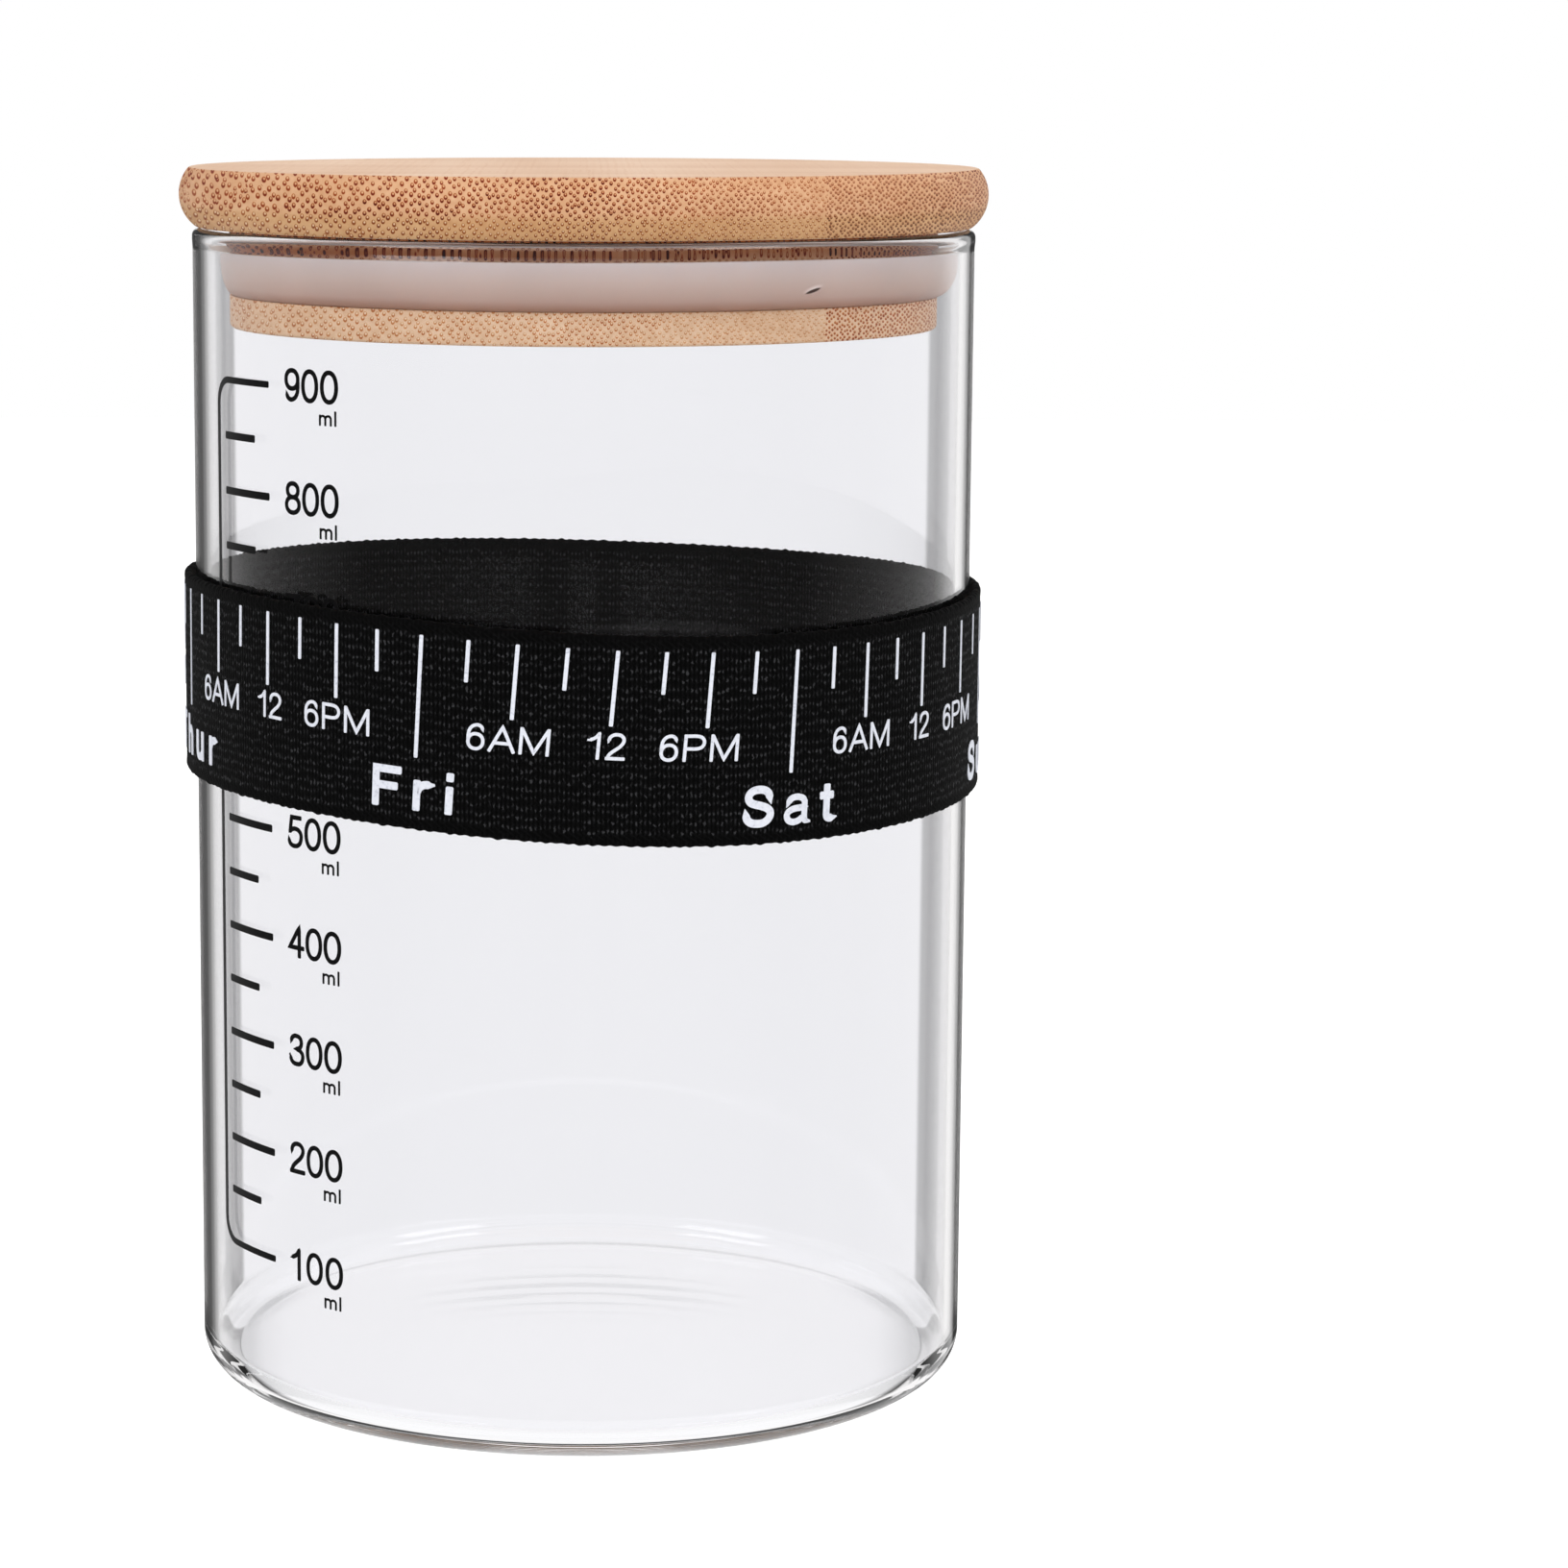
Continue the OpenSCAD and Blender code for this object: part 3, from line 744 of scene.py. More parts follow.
def bamboo(name, spacing, seam_z, colours, hollow_above):
    """Bamboo with bundles spacing mm apart. Two tones meet at seam_z, and the bundles of the
    upper one keep only a share, hollow_above, of their light core. The colours are those of the
    upper tone, the lower tone and the flat faces. On the cap the two tones are two layers of the
    board; on the plug they are painted shade and painted light."""
    upper_tone, lower_tone, face_tone = colours
    made, tree, spot = material(name)
    axes = add(tree, "SeparateXYZ", {0: spot}).outputs
    strip = maths(tree, "GREATER_THAN", axes[0], STRIP_JOINT * MM)
    # Bundles are large and far apart at the left, which was nearer to the heart of the culm.
    # The closeness at a place is bundles per mm, and its running sum is the place among bundles.
    along_mm = times(tree, axes[0], 1000.0)
    up_mm = span(tree, axes[2], (seam_z - 50) * MM, (seam_z + 50) * MM, -50.0, 50.0)
    left, right = 1 / spacing, CLOSE_RIGHT / spacing
    centre = left + (right - left) * 50 / (50 + STRIP_JOINT)
    closeness = span(tree, along_mm, -50.0, STRIP_JOINT, left, right)
    running = span(tree, closeness, left, right, (left + centre) / 2, (right + centre) / 2)
    next_strip = CLOSE_STRIP / spacing
    by_x = choose(tree, strip, running, next_strip)
    by_z = choose(tree, strip, closeness, next_strip)
    grown_x = times(tree, along_mm, by_x)
    grown_z = times(tree, up_mm, by_z)
    grown_y = maths(tree, "DIVIDE", axes[1], GRAIN_LENGTH * MM)
    grown = add(tree, "CombineXYZ", {0: grown_x, 1: grown_y, 2: grown_z}).outputs[0]
    # Turned by 45 degrees, the square field of cells puts each bundle between two of the next row
    across = stretch(tree, grown, (1.0, 1.0, 1.0), Rotation=(0.0, math.radians(45), 0.0))
    wander = add(tree, "TexNoise", {"Vector": spot, "Scale": 110.0, "Detail": 1.0}).outputs[1]
    drift = vectors(tree, "MULTIPLY", wander, (0.9, 0.0, 0.9))
    packed = vectors(tree, "ADD", across, drift)
    cells = add(tree, "TexVoronoi", {"Vector": packed, "Scale": 1.0, "Randomness": 0.5})
    own = vectors(tree, "SUBTRACT", packed, cells.outputs["Position"])
    # A bundle is a little taller than wide; straight up is the diagonal of its turned cell
    flat = stretch(tree, own, (1.0, 0.0, 1.0), Rotation=(0.0, math.radians(-45), 0.0))
    oval = vectors(tree, "MULTIPLY", flat, (1.12, 0.0, 0.9))
    far = vectors(tree, "LENGTH", oval)
    core_at = vectors(tree, "SUBTRACT", oval, (0.02, 0.0, 0.09))
    core_far = vectors(tree, "LENGTH", core_at)
    chance = add(tree, "SeparateColor", {0: cells.outputs["Color"]}).outputs
    size = span(tree, chance[1], 0, 1, 0.34, 0.43)
    dot = span(tree, far, size, 0.24, smooth=True)
    core = span(tree, core_far, 0.21, 0.10, smooth=True)
    # On the cap the upper layer is from near the skin of the culm, where bundles are dark and
    # nearly solid. Nearer to the pith they are open rings round a light core. On the plug the
    # upper tone is the neck between ring and cap, drawn darker and redder as painted shade.
    seam = span(tree, axes[2], (seam_z - SEAM_SOFT) * MM, (seam_z + SEAM_SOFT) * MM, smooth=True)
    solid = maths(tree, "MAXIMUM", seam, strip)
    core_share = times(tree, core, span(tree, solid, 0, 1, 1.0, hollow_above))
    crescent = times(tree, dot, maths(tree, "SUBTRACT", 1.0, core_share))
    # Painted shade: each bundle's dark crescent is drawn thick below and thin above,
    # as on a small raised bundle lit from above
    below = add(tree, "SeparateXYZ", {0: oval}).outputs[2]
    thick_below_painted_shade = span(tree, below, -0.10, 0.16, 1.0, 0.58)
    depth = span(tree, chance[0], 0, 1, 0.65, 1.0)
    strength = span(tree, solid, 0, 1, 0.5, 1.0)
    patchy = noise(tree, stretch(tree, spot, (150.0, 14.0, 260.0)), 1.0, 1.0)
    uneven = span(tree, patchy, 0.35, 0.65, 0.62, 1.1)
    faint = maths(tree, "MAXIMUM", span(tree, axes[0], 4 * MM, 24 * MM, 1.0, 0.55), strip)
    pale_left = span(tree, axes[0], -48 * MM, -22 * MM, 0.66, 1.0)
    # On the flat faces the bundles lie along the surface and hardly show
    facing = add(tree, "SeparateXYZ", {0: add(tree, "NewGeometry").outputs["Normal"]}).outputs[2]
    face = span(tree, maths(tree, "ABSOLUTE", facing), 0.86, 0.98, smooth=True)
    shown = span(tree, face, 0, 1, 1.0, 0.03)
    bundle = times(tree, crescent, thick_below_painted_shade, depth, strength, uneven, faint, pale_left, shown)
    # Painted glint: a painted highlight that lightens the core of each bundle, set a little high
    painted_glint = times(tree, core, shown, 0.26)

    fibres = noise(tree, stretch(tree, spot, (1100.0, 14.0, 1100.0)), 1.0, 3.0)
    bands = noise(tree, stretch(tree, spot, (70.0, 6.0, 130.0)), 1.0, 2.0)
    layer = blend(tree, seam, lower_tone, upper_tone)
    ground = blend(tree, face, layer, face_tone)
    broad_tone = shades(tree, bands, [(0.3, "#F3EAE0"), (0.7, "#FFFFFF")])
    # The faces are sanded across, which leaves faint bands from side to side
    sanded = noise(tree, stretch(tree, spot, (9.0, 160.0, 9.0)), 1.0, 3.0)
    streaks = choose(tree, face, fibres, sanded)
    fibre_tone = shades(tree, streaks, [(0.3, "#F3E9E0"), (0.7, 1.0)])
    wood = blend(tree, 1.0, ground, broad_tone, "MULTIPLY")
    wood = blend(tree, 1.0, wood, fibre_tone, "MULTIPLY")
    # The painted glint blends the wood towards a pale cream
    pale = blend(tree, 1.0, wood, "#FFF3DC", "SCREEN")
    with_painted_glint = blend(tree, painted_glint, wood, pale)
    # Lignin darkens a bundle as it would in a thicker layer of the same wood: each colour channel
    # is raised to a power, so that the brown deepens and doesn't grey
    layers = span(tree, bundle, 0, 1, 1.0, 1.0 + LIGNIN)
    tone = add(tree, "Gamma", {"Color": with_painted_glint, "Gamma": layers}).outputs[0]
    oiled = span(tree, bundle, 0, 1, 0.48, 0.66)
    relief = bump(tree, fibres, 0.00004, 0.3)
    surface(tree, {
        "Base Color": tone, "Roughness": oiled, "IOR": 1.5, "Specular IOR Level": 0.3,
        "Normal": relief})
    print("material:", name, "bundles", spacing, "mm apart")
    return made


cap_bamboo = bamboo("turned_bamboo_cap_painted_glint", 1.02, 151.4, ["#DEB28C", "#D0A577", "#E1C0A3"], 0.72)
# The plug's colours are painted shade and light: its neck above the ring is a dark red-brown copy
# of the bamboo, painted shade between cap and ring, and its flange and faces are a paler copy than
# the cap's, painted light for the light that the glass takes on the way
plug_bamboo_painted_shade_light = bamboo("turned_bamboo_plug_painted_shade_light", 0.98, 146.6, ["#B4672E", "#F0D0B0", "#F0CDAA"], 0.1)

# %% [markdown]
# ## The lid
# Two turned discs are glued together. The cap rests over the rim and has a bulging edge, eased
# where it meets its two faces. The plug below it has a groove for the sealing ring.

# %% Lid
CAP_R, CAP_T, EDGE_R, EDGE_H, EASE_R = 51.65, 7.5, 5.1, 4.1, 0.6
UNDER_CAP = JAR_H + 0.2
PLUG_R, GROOVE_R, PLUG_CHAMFER = 45.3, 42.7, 0.5
PLUG_Z, RING_Z, RING_H = 136.0, 140.1, 6.1
GROOVE_EASE, GLUE_GAP = 0.15, 0.02
FACE_ROW = 25.0  # mm from the axis, a row that keeps the flat faces plain
edge_centre = (CAP_R - EDGE_R, UNDER_CAP + EDGE_H)
rise = CAP_T - EASE_R - EDGE_H
fall = EDGE_H - EASE_R
top_x = edge_centre[0] + math.sqrt((EDGE_R - EASE_R) ** 2 - rise ** 2)
low_x = edge_centre[0] + math.sqrt((EDGE_R - EASE_R) ** 2 - fall ** 2)
top_turn = math.degrees(math.atan2(rise, top_x - edge_centre[0]))
low_turn = math.degrees(math.atan2(fall, low_x - edge_centre[0]))
cap_profile = (
    [(0.0, UNDER_CAP), (FACE_ROW, UNDER_CAP)]
    + arc((low_x, UNDER_CAP + EASE_R), EASE_R, -90, -low_turn, 6)
    + arc(edge_centre, EDGE_R, -low_turn, top_turn, 24)
    + arc((top_x, UNDER_CAP + CAP_T - EASE_R), EASE_R, top_turn, 90, 6)
    + [(FACE_ROW, UNDER_CAP + CAP_T), (0.0, UNDER_CAP + CAP_T)]
)
cap = piece("lid_cap_turned", *lathe(cap_profile), "lid", cap_bamboo)
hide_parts("lid_cap")

plug_profile = (
    [(0.0, PLUG_Z), (FACE_ROW, PLUG_Z)]
    + arc((PLUG_R - PLUG_CHAMFER, PLUG_Z + PLUG_CHAMFER), PLUG_CHAMFER, -90, 0, 4)
    + arc((PLUG_R - GROOVE_EASE, RING_Z - GROOVE_EASE), GROOVE_EASE, 0, 90, 3)
    + [(GROOVE_R, RING_Z), (GROOVE_R, RING_Z + RING_H)]
    + arc((PLUG_R - GROOVE_EASE, RING_Z + RING_H + GROOVE_EASE), GROOVE_EASE, -90, 0, 3)
    + [(PLUG_R, UNDER_CAP - GLUE_GAP), (0.0, UNDER_CAP - GLUE_GAP)]
)
plug = piece("lid_plug_turned", *lathe(plug_profile), "lid", plug_bamboo_painted_shade_light)
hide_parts("lid_plug")

# %% [markdown]
# ## The silicone ring
# The ring is moulded from translucent silicone, and subsurface scattering softens the light in it.
# Its colour is painted darker and browner towards its thick lower edge than at its thin lip:
# painted shade where it meets the flange, with the warmth of the wood behind it painted in.
# Silicone is never glossy: it has a satin, faintly dusty skin. A small nick, where the mould was
# filled, is painted on its right front: a slit of painted shade, a painted highlight on its lip.

# %% Silicone material and ring
silicone, tree, spot = material("translucent_silicone_painted_shade_light")
place_x, place_y, place_z = add(tree, "SeparateXYZ", {0: spot}).outputs
level = span(tree, place_z, RING_Z * MM, (RING_Z + RING_H) * MM)
# Painted shade: the ring darkens and browns towards its lower edge by the flange, and the wood
# behind it is painted in
tone = shades(tree, level,
              [(0.0, "#A97C68"), (0.22, "#C6A799"), (0.6, "#D0BAB1"), (1.0, "#D6C9C7")])
dust = noise(tree, spot, 700.0, 4.0)
cloudy = shades(tree, noise(tree, spot, 90.0, 2.0), [(0.3, 0.94), (0.7, 1.0)])
milky_with_painted_shade = blend(tree, 1.0, tone, cloudy, "MULTIPLY")
satin = span(tree, dust, 0, 1, 0.38, 0.56)
skin = bump(tree, dust, 0.00003, 0.3)
# The nick is only painted: a slanting slit of painted shade, and a painted highlight on the
# swollen lip above it
NICK_DEG, NICK_Z, NICK_LONG, NICK_TALL, NICK_TILT = 34.7, 142.4, 1.3, 0.26, 17.0
TEN_DEG = 8.36  # mm that ten degrees take round the ring
bearing = maths(tree, "ARCTAN2", place_x, times(tree, place_y, -1.0))
sideways = span(tree, bearing, math.radians(NICK_DEG - 10), math.radians(NICK_DEG + 10),
                -TEN_DEG, TEN_DEG)
upwards = span(tree, place_z, (NICK_Z - 5) * MM, (NICK_Z + 5) * MM, -5.0, 5.0)
nick_spot = add(tree, "CombineXYZ", {0: sideways, 1: upwards}).outputs[0]
level_spot = stretch(tree, nick_spot, (1.0, 1.0, 1.0),
                     Rotation=(0.0, 0.0, math.radians(-NICK_TILT)))
slit_spot = stretch(tree, level_spot, (1 / NICK_LONG, 1 / NICK_TALL, 1.0))
painted_slit_shade = span(tree, vectors(tree, "LENGTH", slit_spot), 1.0, 0.6, smooth=True)
lip_spot = stretch(tree, level_spot, (1 / (1.25 * NICK_LONG), 1 / (1.7 * NICK_TALL), 1.0),
                   Location=(0.0, -0.55, 0.0))
# Painted highlight: the lip above the slit is lightened towards near white
lip = span(tree, vectors(tree, "LENGTH", lip_spot), 1.1, 0.2, 0.0, 0.55, smooth=True)
painted_lip_highlight = blend(tree, lip, milky_with_painted_shade, "#FFF4EE")
milky_with_painted_shade = blend(tree, painted_slit_shade, painted_lip_highlight, "#3E2418")
surface(tree, {
    "Base Color": milky_with_painted_shade, "Roughness": satin, "IOR": 1.41, "Normal": skin,
    "Subsurface Weight": 0.35, "Subsurface Radius": (1.0, 0.75, 0.62),
    "Subsurface Scale": 0.0025})

RING_R, RING_EASE, LIP_T, CHANNEL_W, CHANNEL_DEPTH = 47.9, 0.35, 1.3, 1.2, 3.4
RING_SLOPE, RING_RISE = 2.9, 4.5  # the lower half narrows like the quarter of an ellipse
lip_x = RING_R - LIP_T
channel_x = lip_x - CHANNEL_W
ring_top = RING_Z + RING_H
channel_z = ring_top - CHANNEL_DEPTH
half_channel = CHANNEL_W / 2
ring_profile = (
    [(GROOVE_R, RING_Z)]
    + [(RING_R - RING_SLOPE * (1 - x), RING_Z + RING_RISE * (1 + z))
       for x, z in arc((0.0, 0.0), 1.0, -90, 0, 40)]
    + [(RING_R, RING_Z + RING_RISE + 0.3 * i) for i in range(1, 4)]
    + arc((RING_R - RING_EASE, ring_top - RING_EASE), RING_EASE, 0, 90, 6)
    + arc((lip_x + RING_EASE, ring_top - RING_EASE), RING_EASE, 90, 180, 4)
    + arc((lip_x - half_channel, channel_z + half_channel), half_channel, 0, -180, 8)
    + arc((channel_x - RING_EASE, ring_top - RING_EASE), RING_EASE, 0, 90, 4)
    + [(GROOVE_R, ring_top)]
)


PRESSED_IN, FIRM_R = 1.5, 44.5  # mm that the lip is pressed in, and what stays firm inside


def squeezed(radius, height, turn):
    """The lip is pressed in a little at the left, where the lid leans against the rim."""
    pressed = (0.5 - 0.5 * math.cos(turn)) ** 4
    soft = max(0.0, (radius - FIRM_R) / (RING_R - FIRM_R))
    return radius - PRESSED_IN * pressed * soft, height


ring = piece("sealing_ring_moulded", *lathe(ring_profile, bend=squeezed, closed=True), "lid",
             silicone)
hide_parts("sealing_ring")

# %% [markdown]
# ## How the band sits
# Elastic isn't a machined hoop. On the real jar the band leans, sags a little in waves, and is
# stretched more at one place than another, so its print drifts too. A few smooth waves describe
# this, measured on the marks, and every point of the band and of its print goes through them.

# %% Shape of the band
BAND_W, BAND_T, BAND_IN, BAND_Z, BAND_DROP = 25.3, 1.1, 50.36, 90.2, 2.0
BAND_R = BAND_IN + BAND_T
TICK_TOP = BAND_W / 2 - 1.4
SWAY = [(0.22, 0.0), (0.04, -0.17), (-0.52, -0.28), (-0.06, -0.24)]  # mm
STRETCH = [(-0.21, 0.0), (0.07, 0.09), (0.61, 0.14), (0.35, 0.15), (0.0, -0.10), (-0.02, 0.24)]
LEAN, MORE_LEAN, LEAN_AT, LEAN_OVER = 1.2, 4.2, 4, 30  # degrees: the marks lean most at the front
SUNK, MORE_SUNK = 0.33, 0.35  # mm that the print sits low, most at the right


def waves_at(deg, waves):
    """Sums cosine and sine waves, one pair for each whole number of waves round the jar."""
    turn = math.radians(deg)
    return sum(c * math.cos(k * turn) + s * math.sin(k * turn)
               for k, (c, s) in enumerate(waves))


def band_mid(deg):
    """Height of the band's middle at a direction."""
    return BAND_Z - BAND_DROP / 2 * math.sin(math.radians(deg)) + waves_at(deg, SWAY)


def on_band(deg, v, lift):
    """The place of a printed point: its direction, its height on the band and its lift."""
    lean = LEAN + MORE_LEAN * math.exp(-((deg - LEAN_AT) / LEAN_OVER) ** 2)
    slip = math.tan(math.radians(lean)) * (v - TICK_TOP) / BAND_R
    turn = math.radians(deg + waves_at(deg, STRETCH)) + slip
    z = band_mid(math.degrees(turn)) + v - (SUNK + MORE_SUNK * math.sin(turn))
    r = BAND_R + lift
    return r * math.sin(turn), -r * math.cos(turn), z


print("band: middle at", [round(band_mid(d), 2) for d in (-90, 0, 90, 180)], "mm")

# %% [markdown]
# ## Woven elastic
# The band is narrow-woven elastic: fine polyester yarn round rubber cores that run along it. The
# yarn shows as fine upright ribs, half a millimetre apart, and every rubber core lifts
# them into a row, a bit over a millimetre high. Black yarn swallows most light, and its sheen is
# painted into the colour: a faint painted highlight on the crest of each rib and on the slanting
# selvedge yarn, and a brighter painted spark where a yarn turns over a core. A map in real
# millimetres carries the pattern round the loop, so that the rows follow the edges.

# %% Elastic material
RIB, ROW = 0.56, 1.15  # mm between ribs along the band and between rows up it
SELVEDGE = 1.15  # mm of plain rolled edge
INSIDE_EDGE = BAND_W / 2 - SELVEDGE


def weave(tree):
    """The sockets of the crest of a rib, the spark on it, and the place along and up in mm."""
    cloth = add(tree, "UVMap", uv_map="cloth_mm").outputs[0]
    shake = span(tree, noise(tree, cloth, 0.7, 3.0), 0, 1, -0.6, 0.6)
    jog = span(tree, noise(tree, cloth, 2.6, 2.0), 0, 1, -0.55, 0.55)
    along, up, _ = add(tree, "SeparateXYZ", {0: cloth}).outputs
    rib = maths(tree, "ADD", maths(tree, "DIVIDE", along, RIB), jog)
    row = maths(tree, "ADD", maths(tree, "DIVIDE", up, ROW), shake)
    cell = add(tree, "CombineXYZ", {
        0: maths(tree, "FLOOR", rib), 1: maths(tree, "FLOOR", row)}).outputs[0]
    chance = add(tree, "TexWhiteNoise", {"Vector": cell}, noise_dimensions="2D").outputs[0]
    nudge = span(tree, chance, 0, 1, -0.2, 0.2)
    in_row = maths(tree, "ADD", maths(tree, "FRACT", row), nudge)
    x = maths(tree, "ABSOLUTE", maths(tree, "SUBTRACT", maths(tree, "FRACT", rib), 0.5))
    y = maths(tree, "ABSOLUTE", maths(tree, "SUBTRACT", in_row, 0.5))
    wide = span(tree, x, 0.42, 0.06, smooth=True)
    tall = span(tree, y, 0.50, 0.12, 0.35, 1.0, smooth=True)
    turn = span(tree, y, 0.24, 0.05, smooth=True)
    lucky = span(tree, chance, 0.35, 1.0, 0.2, 0.88)
    return times(tree, wide, tall), times(tree, wide, turn, lucky), along, up


elastic, tree, _ = material("woven_black_elastic_painted_sheen")
crest, spark, along, up = weave(tree)
edge = maths(tree, "ABSOLUTE", up)
plain = span(tree, edge, INSIDE_EDGE - 0.2, INSIDE_EDGE + 0.1, 1.0, 0.25)
crown = times(tree, crest, plain)
# The selvedge is bound by a slanting yarn
slanted = maths(tree, "ADD", along, times(tree, up, 1.6))
twist = span(tree, maths(tree, "SINE", times(tree, slanted, math.pi / RIB)), 0.1, 1.0)
near_edge = maths(tree, "ABSOLUTE", maths(tree, "SUBTRACT", edge, INSIDE_EDGE))
locked = span(tree, near_edge, 0.7, 0.3, 0.0, 0.22)
lock_row = times(tree, twist, locked)
base = maths(tree, "MAXIMUM", times(tree, crown, 0.42), lock_row)
# Painted sheen: rib crests, the selvedge twist and the sparks lighten the black yarn's colour
painted_yarn_sheen = maths(tree, "ADD", base, times(tree, spark, plain))
tone = shades(tree, painted_yarn_sheen,
              [(0.0, "#010101"), (0.42, "#0C0C0D"), (1.0, "#353537")])
relief_height = maths(tree, "MAXIMUM", crown, lock_row)
relief = bump(tree, relief_height, 0.00014, 0.8)
dull = span(tree, painted_yarn_sheen, 0, 1, 0.85, 0.55)
surface(tree, {
    "Base Color": tone, "Roughness": dull, "IOR": 1.5, "Specular IOR Level": 0.08,
    "Sheen Weight": 0.005, "Sheen Roughness": 0.5, "Normal": relief})
print("material:", elastic.name, RIB, "x", ROW, "mm weave")

# %% [markdown]
# ## The band
# The loop is swept round the jar as one closed section: a flat face outside and inside, and a
# rolled selvedge at each edge, where the yarn turns back. The turns of the yarn leave the lower
# edge slightly scalloped, which shows against the white behind it.

# %% Woven band
AROUND = 1408  # more than two steps for each rib of the weave
LOOP = 2 * math.pi * BAND_R
EDGE_OUT, FACE_IN = 0.05, 0.03  # how the rolled edge stands out, and the woven face in
ROLL_IN, LINING_IN = 0.02, 0.05  # how far they keep off the bore
SCALLOP, PICK = 0.22, 6.4  # how deep the scallops are in mm, and how many steps each takes


def band_section():
    """(radius, height, edge share) round the section, starting at the lower inner corner."""
    half = BAND_W / 2
    face = BAND_R - FACE_IN
    roll = (BAND_IN + ROLL_IN + face + EDGE_OUT) / 2, (face + EDGE_OUT - BAND_IN - ROLL_IN) / 2
    rows = 26
    points = [(r, z, 1.0) for r, z in arc((roll[0], -half + roll[1]), roll[1], 180, 360, 10)]
    points += [(face, -half + SELVEDGE + (BAND_W - 2 * SELVEDGE) * i / rows, 0.0)
               for i in range(rows + 1)]
    points += [(r, z, 1.0) for r, z in arc((roll[0], half - roll[1]), roll[1], 0, 180, 10)]
    points += [(BAND_IN + LINING_IN, half - SELVEDGE - (BAND_W - 2 * SELVEDGE) * i / 10, 0.0)
               for i in range(11)]
    return points


section = band_section()
verts, faces, cloth = [], [], []
for k in range(AROUND):
    deg = 360.0 * k / AROUND
    mid = band_mid(deg)
    turn = math.radians(deg)
    # A pick of yarn turns back about every three ribs, and no two turns are quite alike
    scallop = 0.5 + 0.5 * math.cos(2 * math.pi * k / PICK + 1.3 * math.sin(k * 0.113))
    scallop *= 0.6 + 0.4 * math.sin(k * 0.379) * math.sin(k * 0.0871 + 2)
    for r, v, share in section:
        z = mid + v + share * SCALLOP * scallop * (1 if v > 0 else -1)
        verts.append((r * math.sin(turn), -r * math.cos(turn), z))
count = len(section)
for k in range(AROUND):
    n = (k + 1) % AROUND
    for j in range(count):
        m = (j + 1) % count
        faces.append((k * count + j, n * count + j, n * count + m, k * count + m))
        here, there = LOOP * k / AROUND, LOOP * (k + 1) / AROUND
        low = section[j][1]
        high = section[m][1]
        cloth += [(here, low), (there, low), (there, high), (here, high)]
band = piece("time_band_woven", verts, faces, "band", elastic, sharp=60)
uv = band.data.uv_layers.new(name="cloth_mm")
for spot_uv, place_uv in zip(uv.data, cloth):
    spot_uv.uv = place_uv
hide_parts("time_band")

# %% [markdown]
# ## The print on the band
# The white marks, hours and days are screen printed. The ink lies in a film on the crowns of the
# yarn, so the weave telegraphs through it and leaves the edges of the letters very slightly
# uneven. The days read round the loop, and each day starts at its long midnight mark.

# %% Print material
ink, tree, spot = material("white_screen_print")
speckle = noise(tree, spot, 2200.0, 3.0)
tone = shades(tree, speckle,
              [(0.30, "#C6C9D4"), (0.40, "#DDE0EA"), (0.75, "#EAECF4")])
relief = bump(tree, speckle, 0.00005, 0.4)
matt = span(tree, speckle, 0, 1, 0.7, 0.5)
surface(tree, {
    "Base Color": tone, "Roughness": matt, "IOR": 1.5, "Specular IOR Level": 0.35,
    "Normal": relief})

# %% Marks, hours and days
# Each day, how wide it is printed in mm, how far its middle is from its midnight in degrees, and
# how far its hours have drifted
DAYS = [("Fri", 10.8, -0.35, -0.2), ("Sat", 13.3, 0.42, -0.3), ("Sun", 14.4, 0.0, 0.0),
        ("Mon", 15.4, -1.0, 0.0), ("Tue", 14.2, -1.0, 0.0), ("Wed", 15.8, -1.0, 0.0),
        ("Thur", 20.0, 1.1, 0.55)]
# Each hour, how wide it is, its mark of the eight in a day, and its own drift in degrees
HOURS = [("6AM", 10.0, 2, -0.15), ("12", 4.5, 4, -0.1), ("6PM", 9.8, 6, -0.6)]
MIDNIGHT_DEG, TURN = -21.9, 360 / 56
TICKS = {0: 14.9, 2: 9.1, 4: 9.1, 6: 9.1}
SHORT_TICK, TICK_W = 5.1, 0.48
PRINT_T, PRINT_GAP = 0.09, 0.01
HOUR_BASE, DAY_BASE = -1.9, -10.1
HOUR_H, DAY_H = 3.3, 5.1
HOUR_STROKE, DAY_STROKE = 0.4, 0.96


def on_cloth(deg, base):
    """A function that lays flat (x, y, lift) points on the band, about a direction."""
    return lambda x, y, lift: on_band(deg + math.degrees(x / BAND_R), base + y, lift)


def strip_mark(deg, length):
    """A printed mark as a bmesh: a ribbon that leans and bends with the cloth."""
    made = bmesh.new()
    ribbon(made, [(0.0, TICK_TOP), (0.0, TICK_TOP - length)], TICK_W, on_cloth(deg, 0.0),
           PRINT_T, PRINT_GAP)
    return made


marks, words = [], []
for day, (name, day_width, shift, late) in enumerate(DAYS):
    start = MIDNIGHT_DEG + TURN * 8 * day
    for i in range(8):
        marks.append(strip_mark(start + TURN * i, TICKS.get(i, SHORT_TICK)))
    words.append(lettering(name, on_cloth(start + shift, DAY_BASE), day_width, DAY_H,
                           DAY_STROKE, PRINT_T, PRINT_GAP, broad=1.1))
    for hour, width, i, drift in HOURS:
        words.append(lettering(hour, on_cloth(start + TURN * i + drift + late, HOUR_BASE),
                               width, HOUR_H, HOUR_STROKE, PRINT_T, PRINT_GAP, broad=1.12))
printed_marks = join("band_marks_printed", marks, "band", ink)
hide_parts("band_marks")
printed_words = join("band_words_printed", words, "band", ink)

# %% [markdown]
# ## The seam
# The two ends of the elastic meet at the rear left and are closed by a zigzag of black thread.
# It is a round thread pulled into the cloth, so it is swept as a tube along the zigzag.

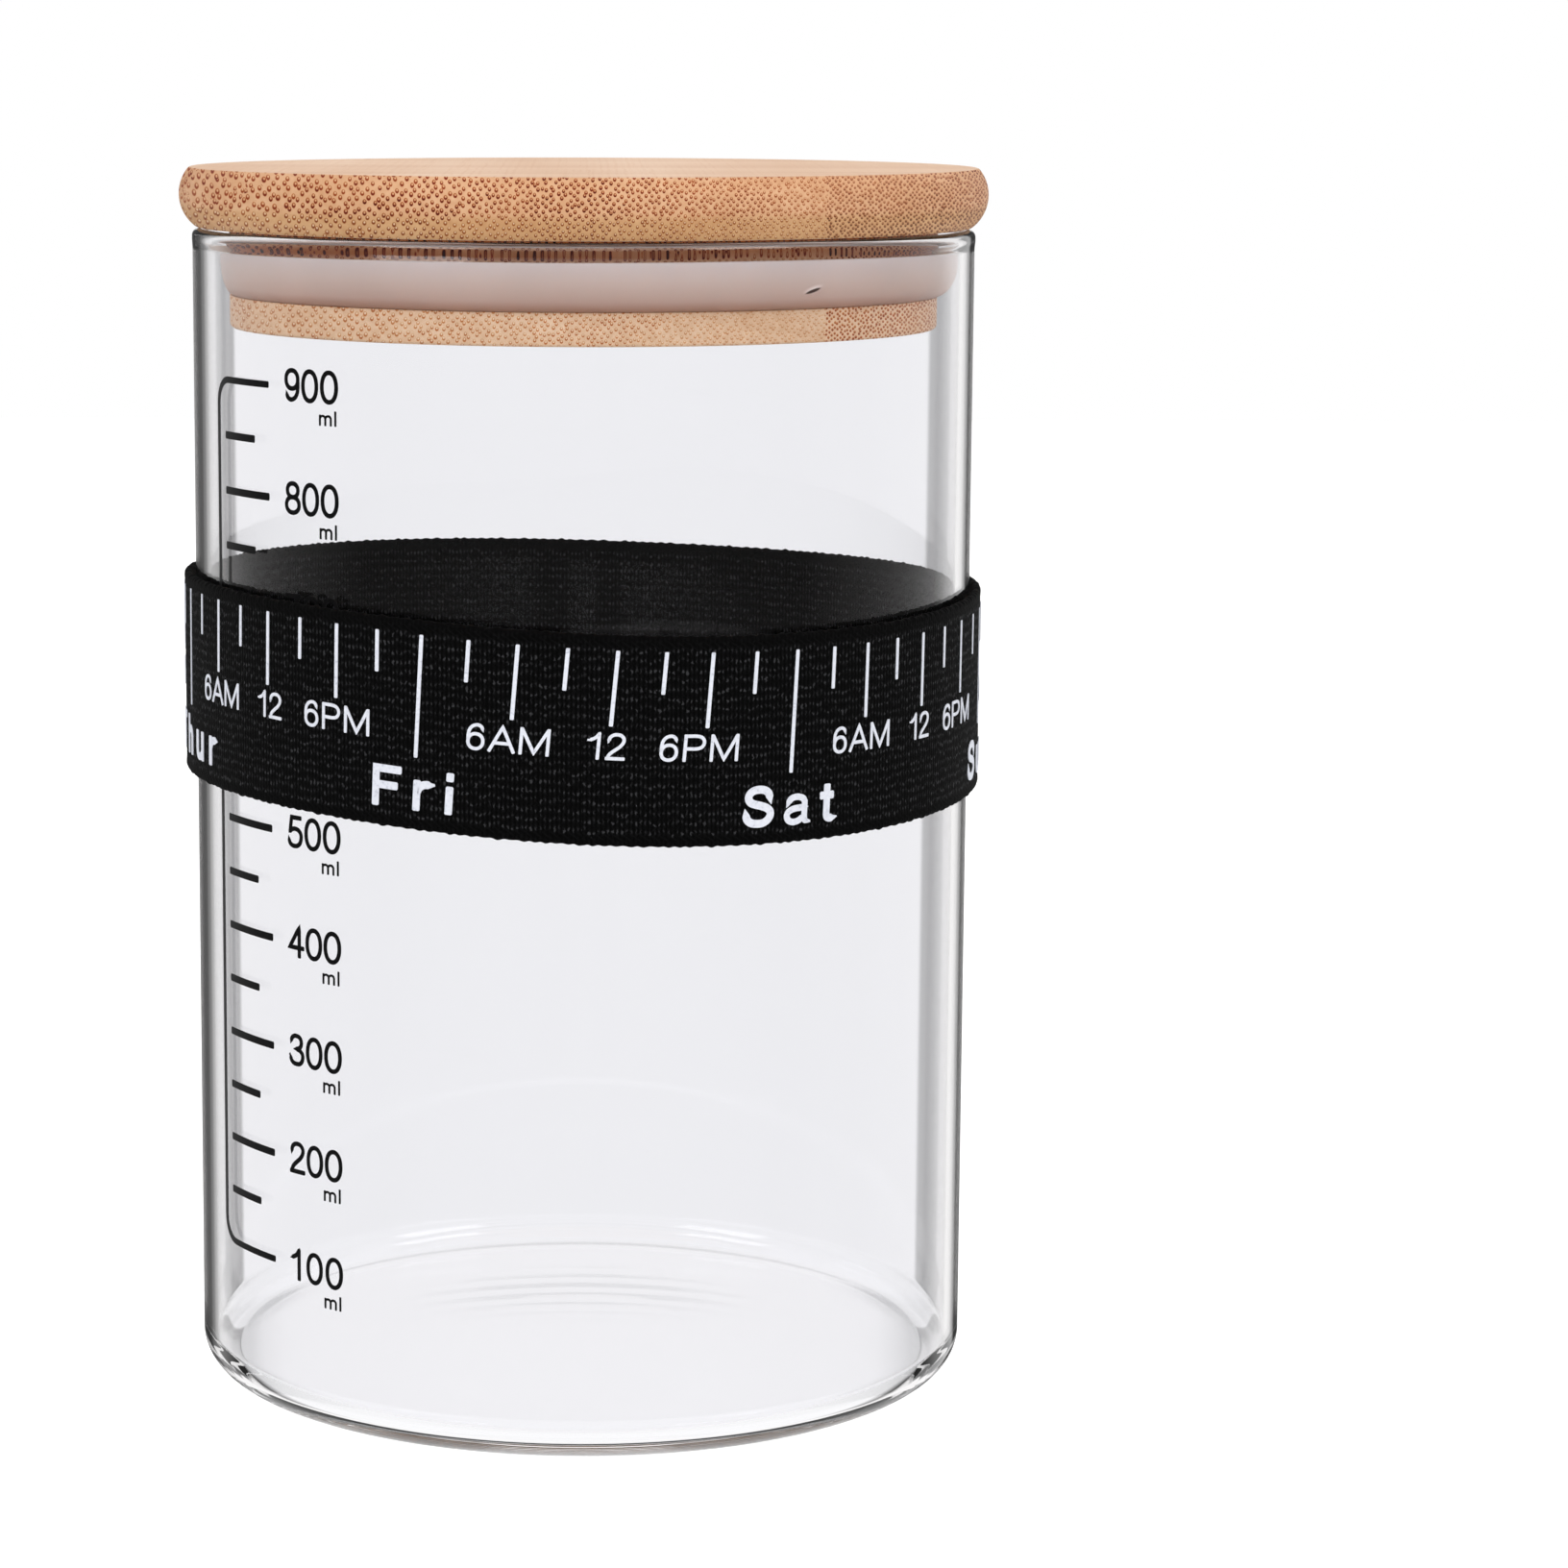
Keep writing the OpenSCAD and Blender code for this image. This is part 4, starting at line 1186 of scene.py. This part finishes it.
# %% Stitching
thread, tree, spot = material("spun_polyester_thread")
plies = add(tree, "TexWave", {"Vector": spot, "Scale": 900.0, "Distortion": 2.0},
            bands_direction="DIAGONAL").outputs[0]
tone = shades(tree, plies, [(0.2, "#141415"), (0.8, "#39393B")])
relief = bump(tree, plies, 0.00004, 0.5)
surface(tree, {
    "Base Color": tone, "Roughness": 0.6, "Sheen Weight": 0.2, "Normal": relief})

SEAM_DEG, SEAM_W, STITCHES, THREAD_D, SEAM_INSET = -103.24, 2.8, 16, 0.3, 0.8
THREAD_DIP, THREAD_RISE = 0.12, 0.26
rise_each = (BAND_W - 2 * SEAM_INSET - THREAD_D) / STITCHES
thread_path = []
for i in range(STITCHES + 1):
    side = SEAM_W / 2 * (1 if i % 2 else -1)
    v = -rise_each * STITCHES / 2 + rise_each * i
    turn = math.radians(SEAM_DEG) + side / BAND_R
    z = band_mid(math.degrees(turn)) + v
    thread_path.append(Vector((math.sin(turn), -math.cos(turn), z)))
verts, faces = [], []
SIDES, BETWEEN = 8, 6
centres = []
for i in range(STITCHES):
    for j in range(BETWEEN):
        share = j / BETWEEN
        at = thread_path[i].lerp(thread_path[i + 1], share)
        flat = Vector((at.x, at.y, 0)).normalized()
        # The needle goes down at each corner, so the thread dips there and rides up between
        lift = BAND_R - THREAD_DIP + THREAD_RISE * math.sin(math.pi * share) ** 0.6
        centres.append((flat * lift + Vector((0, 0, at.z)), flat))
for i, (centre, outward) in enumerate(centres):
    before = centres[max(0, i - 1)][0]
    after = centres[min(len(centres) - 1, i + 1)][0]
    ahead = (after - before).normalized()
    across = ahead.cross(outward).normalized()
    up_side = across.cross(ahead)
    for s in range(SIDES):
        a = 2 * math.pi * s / SIDES
        verts.append(tuple(centre + (across * math.cos(a) + up_side * math.sin(a))
                           * THREAD_D / 2))
for i in range(len(centres) - 1):
    for s in range(SIDES):
        n = (s + 1) % SIDES
        faces.append((i * SIDES + s, i * SIDES + n, (i + 1) * SIDES + n, (i + 1) * SIDES + s))
faces.append(tuple(range(SIDES))[::-1])
faces.append(tuple((len(centres) - 1) * SIDES + s for s in range(SIDES)))
stitching = piece("band_stitching_thread", verts, faces, "band", thread, sharp=80)
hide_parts("band_stitching")
